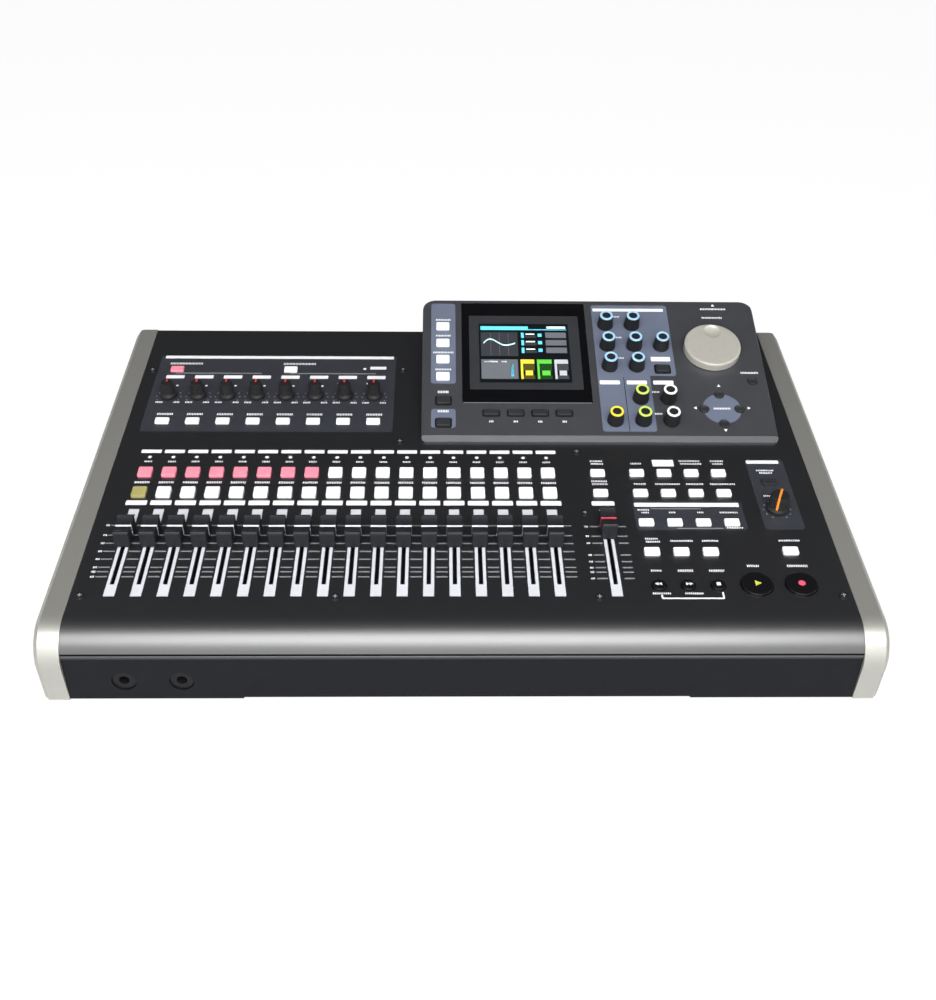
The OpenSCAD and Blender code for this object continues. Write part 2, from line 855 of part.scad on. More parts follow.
// Turned knob with a stepped skirt and a shaft
module knob(foot, top, height) {
  rotate_extrude()
    polygon([[0, -board_depth + 1], [shaft_diameter / 2, -board_depth + 1], [shaft_diameter / 2, knob_gap],
      [foot / 2, knob_gap], [foot / 2, knob_gap + 2.4], [top / 2 + 0.5, knob_gap + 3.4],
      [top / 2, height - 0.6], [top / 2 - 0.6, height], [0, height]]);
}

module trim_knob(i) {
  color(black)
    on_panel([trim_x[i], trim_row], 0)
      knob(trim_foot, trim_top, trim_height);
}

module encoder(i) {
  color(black)
    pod_frame(0)
      translate(encoder_places[i])
        rotate_extrude()
          polygon([[0, -board_depth + 1], [shaft_diameter / 2, -board_depth + 1],
            [shaft_diameter / 2, knob_gap], [encoder_foot / 2, knob_gap], [encoder_foot / 2, knob_gap + 1.2],
            [encoder_top / 2, encoder_height - 0.4], [encoder_top / 2 - 0.4, encoder_height],
            [encoder_top / 2 - 1.6, encoder_height], [encoder_top / 2 - 2, encoder_height - 0.5],
            [0, encoder_height - 0.5]]);
}

module level_knob() {
  color(black)
    on_panel(level_place, 0)
      knob(level_diameter + 1, level_diameter - 1.5, level_height);
}

module jog_wheel() {
  dimple_sphere = 12;
  dimple_rise = sqrt(pow(dimple_sphere, 2) - pow(dimple_radius, 2));
  r = jog_diameter / 2;
  s = shaft_diameter / 2 + 1;
  color(silver)
    pod_frame(0)
      translate(jog_place)
        difference() {
          rotate_extrude($fn = 120)
            polygon([[0, -board_depth + 1], [s, -board_depth + 1], [s, knob_gap], [r, knob_gap],
              [r, jog_height - 1.2], [r - 1.2, jog_height], [0, jog_height]]);
          translate([1.2, r - 7.8, jog_height + dimple_rise])
            rotate([90, 0, 0])
              sphere(r = dimple_sphere, $fn = 60);
        }
}

module channel_buttons() {
  color(white_key)
    panel_frame(0)
      key_bank(panel_sheet) {
        channel_shapes(0);
        channel_shapes(1.2);
        round_shapes(on_v(concat(record_keys, select_keys)), 4, 0);
      }
}

module function_buttons() {
  color(white_key)
    panel_frame(0)
      key_bank(panel_sheet) {
        function_shapes(0);
        function_shapes(1.2);
        round_shapes(on_v(function_keys), 4, 0);
      }
}

module transport_buttons() {
  color(black)
    panel_frame(0)
      key_bank(panel_sheet) {
        transport_shapes(0);
        transport_shapes(1.2);
        round_shapes(on_v(concat(small_keys, large_keys)), 4, 0);
      }
}

module pod_buttons() {
  color(white_key)
    pod_frame(0)
      key_bank(pod_wall) {
        pod_key_shapes(0);
        pod_key_shapes(1.2);
        round_shapes(concat(pod_white, pod_dark, pod_wide, pod_single, pod_round), 4, 0);
      }
}

module power_switch() {
  color(black)
    translate([switch_x, rear_face, rear_socket_z])
      rotate([-90, 0, 0]) {
        translate([0, 0, -14])
          cylinder(d = 9, h = 19);
        translate([0, 0, -base_sheet - 2])
          cylinder(d = 12, h = 1.6);
      }
}

base_tray();
rear_panel();
top_panel();
front_panel();
left_cheek();
right_cheek();
display_pod();
screen_window();
lcd_module();
fader_tracks();
circuit_boards();
jack_sockets();
panel_screws();
rubber_feet();
channel_fader(0);  // fader_01
channel_fader(1);  // fader_02
channel_fader(2);  // fader_03
channel_fader(3);  // fader_04
channel_fader(4);  // fader_05
channel_fader(5);  // fader_06
channel_fader(6);  // fader_07
channel_fader(7);  // fader_08
channel_fader(8);  // fader_09
channel_fader(9);  // fader_10
channel_fader(10);  // fader_11
channel_fader(11);  // fader_12
channel_fader(12);  // fader_13
channel_fader(13);  // fader_14
channel_fader(14);  // fader_15
channel_fader(15);  // fader_16
channel_fader(16);  // fader_17
channel_fader(17);  // fader_18
master_fader();
trim_knob(0);  // trim_knob_1
trim_knob(1);  // trim_knob_2
trim_knob(2);  // trim_knob_3
trim_knob(3);  // trim_knob_4
trim_knob(4);  // trim_knob_5
trim_knob(5);  // trim_knob_6
trim_knob(6);  // trim_knob_7
trim_knob(7);  // trim_knob_8
encoder(0);  // encoder_01
encoder(1);  // encoder_02
encoder(2);  // encoder_03
encoder(3);  // encoder_04
encoder(4);  // encoder_05
encoder(5);  // encoder_06
encoder(6);  // encoder_07
encoder(7);  // encoder_08
encoder(8);  // encoder_09
encoder(9);  // encoder_10
encoder(10);  // encoder_11
encoder(11);  // encoder_12
jog_wheel();
level_knob();
channel_buttons();
function_buttons();
transport_buttons();
pod_buttons();
power_switch();
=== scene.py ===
import json
import math

import bmesh
import bpy
import numpy as np
from mathutils import Matrix


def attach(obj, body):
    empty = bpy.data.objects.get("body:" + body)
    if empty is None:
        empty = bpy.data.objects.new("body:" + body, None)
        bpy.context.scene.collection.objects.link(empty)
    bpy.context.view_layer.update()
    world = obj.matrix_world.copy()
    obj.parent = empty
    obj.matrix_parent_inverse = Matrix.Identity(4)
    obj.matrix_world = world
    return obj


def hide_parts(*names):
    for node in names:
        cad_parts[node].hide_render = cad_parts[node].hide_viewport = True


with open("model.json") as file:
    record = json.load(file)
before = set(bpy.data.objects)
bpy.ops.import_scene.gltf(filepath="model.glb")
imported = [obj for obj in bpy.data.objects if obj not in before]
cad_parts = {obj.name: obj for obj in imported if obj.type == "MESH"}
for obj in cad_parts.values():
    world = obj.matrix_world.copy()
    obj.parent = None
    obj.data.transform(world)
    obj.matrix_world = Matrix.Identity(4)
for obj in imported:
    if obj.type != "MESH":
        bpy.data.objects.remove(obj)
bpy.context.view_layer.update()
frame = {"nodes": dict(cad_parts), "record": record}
scene = bpy.context.scene

# Studio
# A pale paper table top that runs out of view, lit by a broad soft box over the camera, a low wall
# of light in front and a weak fill from either side, with the camera where the photo was taken.
scene.view_settings.view_transform = "Standard"
EYE = np.array([-15.1, -690.4, 545.8]) / 1000
PITCH, YAW, ROLL = (math.radians(a) for a in (36.72, -1.66, 1.09))
FOCAL_PX, FRAME_HEIGHT_PX = 1206, 1000
SENSOR_MM = 36


def aim():
    """Camera axes: level right turned by the yaw, ahead dipped by the pitch, both rolled."""
    right = np.array([math.cos(YAW), math.sin(YAW), 0])
    level = math.cos(PITCH)
    ahead = np.array([-math.sin(YAW) * level, math.cos(YAW) * level, -math.sin(PITCH)])
    up = np.cross(right, ahead)
    return (
        right * math.cos(ROLL) + up * math.sin(ROLL),
        up * math.cos(ROLL) - right * math.sin(ROLL),
        -ahead,
    )


def stand(axes, place):
    """The matrix that stands an object at a place, with its three axes as columns."""
    return Matrix([[*(a[i] for a in axes), place[i]] for i in range(3)] + [[0, 0, 0, 1]])


lens = bpy.data.cameras.new("photo_camera")
lens.sensor_fit, lens.sensor_height = "VERTICAL", SENSOR_MM
lens.lens = FOCAL_PX / FRAME_HEIGHT_PX * SENSOR_MM
camera = bpy.data.objects.new("photo_camera", lens)
camera.matrix_world = stand(aim(), EYE)
scene.collection.objects.link(camera)
scene.camera = camera


def soft_box(name, place, target, width, length, watts):
    """A rectangular lamp at place that faces target, in metres."""
    lamp = bpy.data.lights.new(name, "AREA")
    lamp.shape, lamp.size, lamp.size_y, lamp.energy = "RECTANGLE", width, length, watts
    holder = bpy.data.objects.new(name, lamp)
    away = np.array(place) - np.array(target)
    away = away / np.linalg.norm(away)
    side = np.cross((0.0, 1.0, 0.0), away)
    side = side / np.linalg.norm(side)
    holder.matrix_world = stand((side, np.cross(away, side), away), place)
    scene.collection.objects.link(holder)


NOSE_MIDDLE, BODY_MIDDLE = (0.0, -0.12, 0.05), (0.0, 0.0, 0.05)
soft_box("front_box", (0.0, -0.96, 1.08), NOSE_MIDDLE, 1.5, 0.8, 32)
soft_box("front_wall", (0.0, -1.65, 0.45), NOSE_MIDDLE, 2.4, 0.7, 10)
soft_box("left_fill", (-1.4, -0.2, 0.9), BODY_MIDDLE, 0.8, 0.8, 5)
soft_box("right_fill", (1.4, -0.2, 0.9), BODY_MIDDLE, 0.8, 0.8, 4)

HORIZON, HORIZON_LIGHT = 0.02, (0.60, 0.61, 0.63, 1)
OVERHEAD, OVERHEAD_LIGHT = 0.32, (0.05, 0.05, 0.055, 1)
BACKDROP_LIGHT = (0.93, 0.93, 0.935, 1)
world = bpy.data.worlds.new("studio")
scene.world = world
world.use_nodes = True
tree = world.node_tree
sky = tree.nodes["Background"]
where = tree.nodes.new("ShaderNodeTexCoord")
split = tree.nodes.new("ShaderNodeSeparateXYZ")
ramp = tree.nodes.new("ShaderNodeValToRGB")
low_stop, high_stop = ramp.color_ramp.elements
low_stop.position, low_stop.color = HORIZON, HORIZON_LIGHT
high_stop.position, high_stop.color = OVERHEAD, OVERHEAD_LIGHT
tree.links.new(where.outputs["Generated"], split.inputs[0])
tree.links.new(split.outputs["Z"], ramp.inputs[0])
tree.links.new(ramp.outputs[0], sky.inputs["Color"])
backdrop = tree.nodes.new("ShaderNodeBackground")
backdrop.inputs["Color"].default_value = BACKDROP_LIGHT
path = tree.nodes.new("ShaderNodeLightPath")
seen = tree.nodes.new("ShaderNodeMixShader")
tree.links.new(path.outputs["Is Camera Ray"], seen.inputs[0])
tree.links.new(sky.outputs[0], seen.inputs[1])
tree.links.new(backdrop.outputs[0], seen.inputs[2])
tree.links.new(seen.outputs[0], tree.nodes["World Output"].inputs["Surface"])


def new_mesh(name, points, faces):
    """A mesh from points in metres and faces of any length."""
    mesh = bpy.data.meshes.new(name)
    mesh.from_pydata(points.tolist(), [], [list(f) for f in faces])
    return mesh


FLOOR_HALF = 6.0
PAPER_TONE, PAPER_ROUGH = (0.62, 0.62, 0.62, 1), 0.9
PAPER_GLOW, GLOW_SHARE = 1.08, 0.88
corners = np.array([[-1, -1, 0], [1, -1, 0], [1, 1, 0], [-1, 1, 0]]) * FLOOR_HALF
floor = bpy.data.objects.new("table_top", new_mesh("table_top", corners, [(0, 1, 2, 3)]))
scene.collection.objects.link(floor)
paper = bpy.data.materials.new("pale_paper")
paper.use_nodes = True
tree = paper.node_tree
sheet = tree.nodes["Principled BSDF"]
sheet.inputs["Base Color"].default_value = PAPER_TONE
sheet.inputs["Roughness"].default_value = PAPER_ROUGH
glow = tree.nodes.new("ShaderNodeEmission")
glow.inputs["Strength"].default_value = PAPER_GLOW
rays = tree.nodes.new("ShaderNodeLightPath")
shown = tree.nodes.new("ShaderNodeMath")
shown.operation = "MULTIPLY"
shown.inputs[1].default_value = GLOW_SHARE
blend = tree.nodes.new("ShaderNodeMixShader")
tree.links.new(rays.outputs["Is Camera Ray"], shown.inputs[0])
tree.links.new(shown.outputs[0], blend.inputs[0])
tree.links.new(sheet.outputs[0], blend.inputs[1])
tree.links.new(glow.outputs[0], blend.inputs[2])
tree.links.new(blend.outputs[0], tree.nodes["Material Output"].inputs["Surface"])
floor.data.materials.append(paper)


# Base tray, rear panel and feet
# The tray and rear panel are folded steel, the tray plain and the rear plate painted dark;
# rubber feet are pressed in below.
def ink(red, green, blue):
    """Linear light of a colour written as it looks on screen, 0 to 255 each."""
    c = np.array([red, green, blue]) / 255
    return np.where(c <= 0.04045, c / 12.92, ((c + 0.055) / 1.055) ** 2.4)


DRIFT_FROM, DRIFT_TO = 0.35, 0.65
PATCH_DETAIL, GRAIN_DETAIL = 3.0, 2.0
ROUGH_SPREAD = 0.12
GRAIN_DEPTH = 0.0002


def finish(name, colour, rough, metal=0.0, shine=0.5, ior=1.5, mottle=0.08, patch=60.0,
           grain=900.0, relief=0.1, glow=0.0):
    """A paint, metal or plastic: its colour drifts by mottle over patches, and a fine grain
    roughens and dents the skin; patch and grain are noise scales per metre."""
    material = bpy.data.materials.new(name)
    material.use_nodes = True
    tree = material.node_tree
    skin = tree.nodes["Principled BSDF"]
    skin.inputs["Metallic"].default_value = metal
    skin.inputs["Specular IOR Level"].default_value = shine
    skin.inputs["IOR"].default_value = ior
    where = tree.nodes.new("ShaderNodeTexCoord")

    def noise(scale, detail):
        """Cloud noise of one scale, fixed to the piece."""
        node = tree.nodes.new("ShaderNodeTexNoise")
        node.inputs["Scale"].default_value = scale
        node.inputs["Detail"].default_value = detail
        tree.links.new(where.outputs["Object"], node.inputs["Vector"])
        return node.outputs["Fac"]

    drift = tree.nodes.new("ShaderNodeValToRGB")
    dark_stop, pale_stop = drift.color_ramp.elements
    dark_stop.position, pale_stop.position = DRIFT_FROM, DRIFT_TO
    dark_stop.color = (*np.clip(colour * (1 - mottle), 0, 1), 1)
    pale_stop.color = (*np.clip(colour * (1 + mottle), 0, 1), 1)
    tree.links.new(noise(patch, PATCH_DETAIL), drift.inputs[0])
    tree.links.new(drift.outputs[0], skin.inputs["Base Color"])
    fine = noise(grain, GRAIN_DETAIL)
    spread = tree.nodes.new("ShaderNodeMapRange")
    spread.inputs["To Min"].default_value = rough * (1 - ROUGH_SPREAD)
    spread.inputs["To Max"].default_value = min(1.0, rough * (1 + ROUGH_SPREAD))
    tree.links.new(fine, spread.inputs["Value"])
    tree.links.new(spread.outputs[0], skin.inputs["Roughness"])
    dent = tree.nodes.new("ShaderNodeBump")
    dent.inputs["Strength"].default_value = relief
    dent.inputs["Distance"].default_value = GRAIN_DEPTH
    tree.links.new(fine, dent.inputs["Height"])
    tree.links.new(dent.outputs[0], skin.inputs["Normal"])
    if glow:
        skin.inputs["Emission Strength"].default_value = glow
        tree.links.new(drift.outputs[0], skin.inputs["Emission Color"])
    return material


SHARP = math.radians(20)
WELD = 1e-6


def dress(node, material):
    """A welded copy of a solid, smooth except at its sharp edges, that stands for the node."""
    mesh = frame["nodes"][node].data.copy()
    mesh.name = node + "_skin"
    work = bmesh.new()
    work.from_mesh(mesh)
    bmesh.ops.remove_doubles(work, verts=work.verts, dist=WELD)
    work.to_mesh(mesh)
    work.free()
    mesh.attributes.remove(mesh.attributes["custom_normal"])
    mesh.materials.clear()
    mesh.materials.append(material)
    mesh.polygons.foreach_set("use_smooth", np.ones(len(mesh.polygons), dtype=bool))
    mesh.set_sharp_from_angle(angle=SHARP)
    skin = bpy.data.objects.new(node + "_skin", mesh)
    scene.collection.objects.link(skin)
    flat = skin.modifiers.new("flat_faces", "WEIGHTED_NORMAL")
    flat.mode = "FACE_AREA_WITH_ANGLE"
    flat.keep_sharp = True
    bodies = frame["record"]["behaviour"]["bodies"]
    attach(skin, next(body for body, nodes in bodies.items() if node in nodes))
    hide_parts(node)


tray_steel = finish("galvanised_sheet", ink(150, 152, 156), 0.45, metal=0.9, mottle=0.18,
                    patch=140, relief=0.15)
rear_paint = finish("rear_plate_paint", ink(24, 25, 27), 0.5, shine=0.25, mottle=0.06,
                    grain=1500, relief=0.12)
foot_rubber = finish("foot_rubber", ink(26, 26, 27), 0.85, shine=0.2, mottle=0.15, relief=0.4)
dress("base_tray", tray_steel)
dress("rear_panel", rear_paint)
dress("rubber_feet", foot_rubber)

# Top panel
# One painted sheet, rolled over in front into a rounded nose whose lowest band has no shine, a
# painted shade for the dark seam under it. Keys, slots and shafts pass through punched holes; the
# printing is a thin layer of screened ink.
SLOPE = math.radians(3.5)
PANEL_HEIGHT = 62.6
PANEL = (0.0, PANEL_HEIGHT, SLOPE)


def shine_by_height(material, low, high, below, above):
    """Lets a skin's shine rise from below to above between two heights in metres."""
    tree = material.node_tree
    where = next(n for n in tree.nodes if n.bl_idname == "ShaderNodeTexCoord")
    split = tree.nodes.new("ShaderNodeSeparateXYZ")
    rise = tree.nodes.new("ShaderNodeMapRange")
    rise.inputs["From Min"].default_value = low
    rise.inputs["From Max"].default_value = high
    rise.inputs["To Min"].default_value = below
    rise.inputs["To Max"].default_value = above
    tree.links.new(where.outputs["Object"], split.inputs[0])
    tree.links.new(split.outputs["Z"], rise.inputs["Value"])
    tree.links.new(rise.outputs[0], tree.nodes["Principled BSDF"].inputs["Specular IOR Level"])


satin_black = finish("satin_black_paint", ink(18, 19, 22), 0.38, ior=2.1, mottle=0.06, grain=1500,
                     relief=0.06)
# The lowest band of the nose gets no shine: a painted shade line standing in for the dark seam gap
# under the nose.
SEAM_SHADE_TOP, FULL_SHINE_FROM = 0.0402, 0.0406
SEAM_SHADE_SHINE, PAINT_SHINE = 0.0, 0.5
shine_by_height(satin_black, SEAM_SHADE_TOP, FULL_SHINE_FROM, SEAM_SHADE_SHINE, PAINT_SHINE)
dress("top_panel", satin_black)


def depth(y):
    """Distance along the sloping panel of a depth coordinate."""
    return np.asarray(y, dtype=float) / math.cos(SLOPE)


def lay(points, plane):
    """Carries points (across, along, lift) in mm onto a tilted plane, in metres: along and lift
    are turned by the plane's tilt and set off from its origin."""
    origin_y, origin_z, tilt = plane
    p = np.asarray(points, dtype=float)
    across, along, lift = p[..., 0], p[..., 1], p[..., 2]
    y = origin_y + along * math.cos(tilt) - lift * math.sin(tilt)
    z = origin_z + along * math.sin(tilt) + lift * math.cos(tilt)
    return np.stack([across, y, z], -1).reshape(-1, 3) / 1000


def rounded(boxes, corner, steps=3):
    """Outlines of boxes (x0, y0, x1, y1): a quarter circle of the corner radius at each corner."""
    b = np.asarray(boxes, dtype=float).reshape(-1, 4)
    turn = np.radians(np.arange(4)[:, None] * 90 + np.linspace(0, 90, steps + 1)[None, :])
    end_x = np.where(np.isin(np.arange(4), (0, 3)), 1, -1)[:, None]
    end_y = np.where(np.arange(4) < 2, 1, -1)[:, None]
    size = np.stack([b[:, 2] - b[:, 0], b[:, 3] - b[:, 1]], -1)[:, None, None, :]
    mid = np.stack([b[:, 2] + b[:, 0], b[:, 3] + b[:, 1]], -1)[:, None, None, :] / 2
    sign = np.stack(np.broadcast_arrays(end_x, end_y + 0 * turn), -1)[None]
    arc = corner * np.stack([np.cos(turn), np.sin(turn)], -1)[None]
    return (mid + sign * (size / 2 - corner) + arc).reshape(len(b), -1, 2)


def discs(places, radius, sides=24):
    """Outlines of equal circles at the places."""
    a = np.linspace(0, 2 * math.pi, sides, endpoint=False)
    rim = radius * np.stack([np.cos(a), np.sin(a)], -1)
    return np.asarray(places, dtype=float).reshape(-1, 1, 2) + rim[None]


def centred(places, width, length):
    """Boxes of one size centred on the places."""
    p = np.asarray(places, dtype=float).reshape(-1, 2)
    return np.concatenate([p - (width / 2, length / 2), p + (width / 2, length / 2)], 1)


def quads(rows, cols):
    """Faces of a rows by cols grid of points, closed round the columns."""
    r = np.arange(rows - 1)[:, None]
    c = np.arange(cols)[None, :]
    n = (c + 1) % cols
    corners = [r * cols + c, r * cols + n, (r + 1) * cols + n, (r + 1) * cols + c]
    return np.stack(corners, -1).reshape(-1, 4)


def loft(outlines, lifts):
    """Closed solids: each outline (solid, ring, point) stands at its ring's lift, the rings
    are joined by quads and the ends capped."""
    count, rings, sides, _ = outlines.shape
    height = np.asarray(lifts, dtype=float)[None, :, None, None]
    height = np.broadcast_to(height, (count, rings, sides, 1))
    points = np.concatenate([outlines, height], -1).reshape(-1, 3)
    start = np.arange(count)[:, None, None] * rings * sides
    walls = (quads(rings, sides)[None] + start).reshape(-1, 4).tolist()
    loop = np.arange(sides)[None, :]
    lower = (start[:, 0] + loop[:, ::-1]).tolist()
    upper = (start[:, 0] + (rings - 1) * sides + loop).tolist()
    return points, walls + lower + upper


def slabs(outlines, low, high):
    """Flat plates of the given outlines between two lifts."""
    return loft(np.stack([outlines, outlines], 1), (low, high))


def together(*shapes):
    """Several (points, faces) shapes as one."""
    points, faces, start = [], [], 0
    for p, f in shapes:
        points.append(p)
        faces += [[i + start for i in face] for face in f]
        start += len(p)
    return np.concatenate(points), faces


def piece(name, parts, plane, materials, body, stands_for=()):
    """One object from several (points, faces) parts, the nth with the nth material, on a plane."""
    points, faces = together(*parts)
    mesh = new_mesh(name, lay(points, plane), faces)
    for material in materials:
        mesh.materials.append(material)
    kinds = np.repeat(np.arange(len(parts), dtype=np.int32), [len(f) for _, f in parts])
    mesh.polygons.foreach_set("material_index", kinds)
    mesh.polygons.foreach_set("use_smooth", np.ones(len(faces), dtype=bool))
    mesh.set_sharp_from_angle(angle=SHARP)
    made = bpy.data.objects.new(name, mesh)
    scene.collection.objects.link(made)
    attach(made, body)
    for node in stands_for:
        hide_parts(node)


def on_panel(boxes):
    """Boxes with their depth coordinates turned into distances along the panel."""
    b = np.asarray(boxes, dtype=float).reshape(-1, 4).copy()
    b[:, 1], b[:, 3] = depth(b[:, 1]), depth(b[:, 3])
    return b


def panel_places(places):
    """Places with their depth coordinate turned into a distance along the panel."""
    p = np.asarray(places, dtype=float).reshape(-1, 2).copy()
    p[:, 1] = depth(p[:, 1])
    return p


def at_depth(xs, y):
    """Places across the panel at one depth."""
    return panel_places(np.stack([xs, np.full(len(xs), y)], -1))


def row(xs, y, width, length):
    """A row of boxes of one size at one depth."""
    return centred(at_depth(xs, y), width, length)


DASH_PITCH, DASH_SHARE, DASH_CORNER = 1.15, 0.6, 0.15


def dashes(places, width, length):
    """Short upright dashes in an even row round each place, a plain stand-in for printed words."""
    count = max(3, round(width / DASH_PITCH))
    step = width / count
    p = np.asarray(places, dtype=float).reshape(-1, 1, 2)
    left = (p[..., 0] - width / 2 + step * np.arange(count)[None, :]).ravel()
    along = np.repeat(p[:, 0, 1], count)
    right = left + DASH_SHARE * step
    return np.stack([left, along - length / 2, right, along + length / 2], -1)


def lettering(xs, y, width, length=1.6):
    """Rows of dashes across the panel at one depth."""
    return dashes(at_depth(xs, y), width, length)


CHANNEL_COUNT, CHANNEL_PITCH = 18, 16.3
CHANNELS = -217.6 + CHANNEL_PITCH * np.arange(CHANNEL_COUNT)
MASTER = 94.7
TRIM_COUNT, TRIM_ROW = 8, 78.9
TRIMS = -217 + 21.8 * np.arange(TRIM_COUNT)
SOURCES = TRIMS + 0.6
GRID = 121.2 + 18.97 * np.arange(4)
LEVEL = (211.3, float(depth(-49)))

# Lifts of the ink: fields first, marks over them, the bracket a hair under the words it meets.
INK_LAYER = 0.06
INK_TOP, BRACKET_TOP = 2 * INK_LAYER, 1.9 * INK_LAYER
BAR_CORNER, LINE_CORNER, BRACKET_CORNER, FIELD_CORNER, CUT_CORNER = 0.6, 0.3, 0.2, 2.4, 0.02
LAMP_RADIUS, SIGNAL_RADIUS = 1.3, 0.95
TICK_CIRCLE, LEVEL_TICK_CIRCLE, TICK_RADIUS, TICK_SIDES = 9, 9.2, 0.5, 10
white_ink = finish("white_screen_ink", ink(236, 237, 240), 0.6, shine=0.3, mottle=0.02,
                   relief=0.05)
grey_ink = finish("grey_scale_ink", ink(128, 130, 134), 0.6, shine=0.3, mottle=0.04, relief=0.05)
strip_ink = finish("pale_strip_ink", ink(200, 202, 208), 0.55, shine=0.3, mottle=0.03,
                   relief=0.05)
slate_ink = finish("slate_ink", ink(50, 52, 58), 0.5, shine=0.35, mottle=0.05, grain=1500,
                   relief=0.1)

SLATES = on_panel([(-231, 35.8, -49.4, 133.4), (114.4, -69.7, 187.9, -40.3),
                   (199.4, -69.1, 226, 5)])
piece("slate_fields", [slabs(rounded(SLATES, FIELD_CORNER), 0, INK_LAYER)], PANEL, [slate_ink],
      "housing")

bars = np.concatenate([
    row(CHANNELS, 12.6, 14.0, 3.6),
    row(CHANNELS, -43, 14.0, 4.6),
    row([94.6], -43, 15.4, 4.4),
    row(SOURCES, 104.6, 13.9, 4.2),
    on_panel([(-228.2, 129.6, -51.1, 133.3), (115.4, -46.4, 186, -42.4), (200.1, 0.2, 222.9, 3.8),
              (133.6, -3, 148.6, 4.2), (-69, 115.4, -56.6, 119.2)]),
])
# Places across, depth, width and, where it isn't the usual one, height of each printed word.
WORDS = [
    (CHANNELS, 1.2, 5.6),
    (CHANNELS, -21.6, 10.4, 2.0),
    (SOURCES + 0.6, 56.8, 11.8, 2.4),
    (TRIMS - 5.8, 71.6, 5.4, 1.8),
    (TRIMS + 7.1, 71.6, 4.6, 1.8),
    (GRID[:1] + 0.9, 0, 7.8),
    (GRID[2:3] + 1, 3, 15),
    (GRID[2:3] + 1.8, -0.2, 15),
    (GRID[3:] + 1.4, 3, 9.4),
    (GRID[3:] + 1.6, -0.2, 7.6),
    (GRID[:1] + 1, -22.4, 8.4),
    (GRID[2:3] + 0.8, -22.4, 12.2),
    (GRID[[1, 3]] + 1.2, -22.4, 17.4),
    (GRID[:1], -49.6, 8),
    (GRID[:1] + 0.8, -52.4, 5.4),
    (GRID[1:3], -52.2, 4.6),
    (GRID[3:], -52.2, 12.4),
    (GRID[3:] + 1.4, -67.6, 11, 1.5),
    (GRID[:1] + 1.6, -78.4, 8.6),
    (GRID[:1] + 2.2, -81.2, 9.6),
    (GRID[1:2] + 2, -80.4, 15),
    (GRID[2:3] + 1.8, -80.4, 11),
    ([212.6], -80, 14),
    ([121.8], -108.4, 7),
    ([140.4, 160.2], -108.4, 10, 2.0),
    ([184.2], -104, 8, 2.0),
    ([212.6], -104, 13.4, 2.0),
    ([122.6, 142.8], -128.8, 11.6, 1.5),
    ([MASTER - 0.2], 2.6, 9),
    ([MASTER + 0.1], -0.4, 9),
    ([MASTER - 0.2], -19.6, 11),
    ([MASTER - 0.1], -22.6, 11),
    ([211.6], -7.4, 12.4),
    ([211.8], -10.2, 9.4),
    ([209], -35, 8),
    ([-210.4, -123.4], 122.6, 25, 2.4),
]
SCALE = np.array([-65.8, -75.4, -83.1, -90.7, -98.0, -105.5, -109.5, -114.0])
MASTER_SCALE = np.array([-66.5, -76.0, -82.7, -93.9, -100.1, -105.6, -109.8, -115.5])
SCALE_NUMBERS = [([CHANNELS[0] - 13.6], y, 2.6) for y in SCALE]
MASTER_NUMBERS = [([81.2], y, 2.4) for y in MASTER_SCALE]
words = np.concatenate([lettering(*w) for w in WORDS + SCALE_NUMBERS + MASTER_NUMBERS])
between = np.concatenate([[CHANNELS[0] - CHANNEL_PITCH / 2], CHANNELS + CHANNEL_PITCH / 2])
lines = np.concatenate([row(between, y, 7.2, 1.0) for y in SCALE])
master_lines = np.concatenate([row([86.8, 104], y, 6.6, 1.1) for y in MASTER_SCALE])
bracket = on_panel([(121.8, -133.6, 161, -132.5), (121.8, -133.6, 122.8, -130),
                    (160, -133.6, 161, -127.5)])
hairlines = on_panel([(141, -68.6, 171.6, -67.8), (126, -48.8, 160, -48),
                      (TRIMS[0], 109, TRIMS[3], 110.2), (TRIMS[4], 109, TRIMS[7], 110.2)])


def on_circle(centre, radius, turns):
    """Places on a circle, each at its turn clockwise from the rear."""
    return np.stack([centre[0] + radius * np.sin(turns), centre[1] + radius * np.cos(turns)], -1)


trim_turns = np.radians(np.concatenate([np.linspace(-150, -60, 4), np.linspace(60, 150, 4)]))
ticks = np.concatenate([on_circle((x, depth(TRIM_ROW)), TICK_CIRCLE, trim_turns) for x in TRIMS])
level_ticks = on_circle(LEVEL, LEVEL_TICK_CIRCLE, np.radians(np.linspace(-150, 150, 11)))
lamps = np.concatenate([at_depth(CHANNELS, 6.2), panel_places([(-73.2, 116.1)])])
first_six = np.arange(TRIM_COUNT) < 6
signals = panel_places(np.stack([TRIMS + np.where(first_six, 4.0, -5.6),
                                 np.where(first_six, 93, 96.4)], -1))
white_print = together(
    slabs(rounded(bars, BAR_CORNER), 0, INK_TOP),
    slabs(rounded(bracket, BRACKET_CORNER, 1), 0, BRACKET_TOP),
    slabs(rounded(words, DASH_CORNER, 1), 0, INK_TOP),
    slabs(discs(lamps, LAMP_RADIUS), 0, INK_TOP),
    slabs(discs(signals, SIGNAL_RADIUS), 0, INK_TOP),
)
all_lines = np.concatenate([lines, master_lines, hairlines])
all_ticks = np.concatenate([ticks, level_ticks])
grey_print = together(
    slabs(rounded(all_lines, LINE_CORNER), 0, INK_TOP),
    slabs(discs(all_ticks, TICK_RADIUS, TICK_SIDES), 0, INK_TOP),
)
STRIP_HALF, SLOT_HALF = 3.4, 1.4
STRIP_FRONT, STRIP_REAR, SLOT_FRONT, SLOT_REAR = -131.2, -49.5, -120.8, -54.8
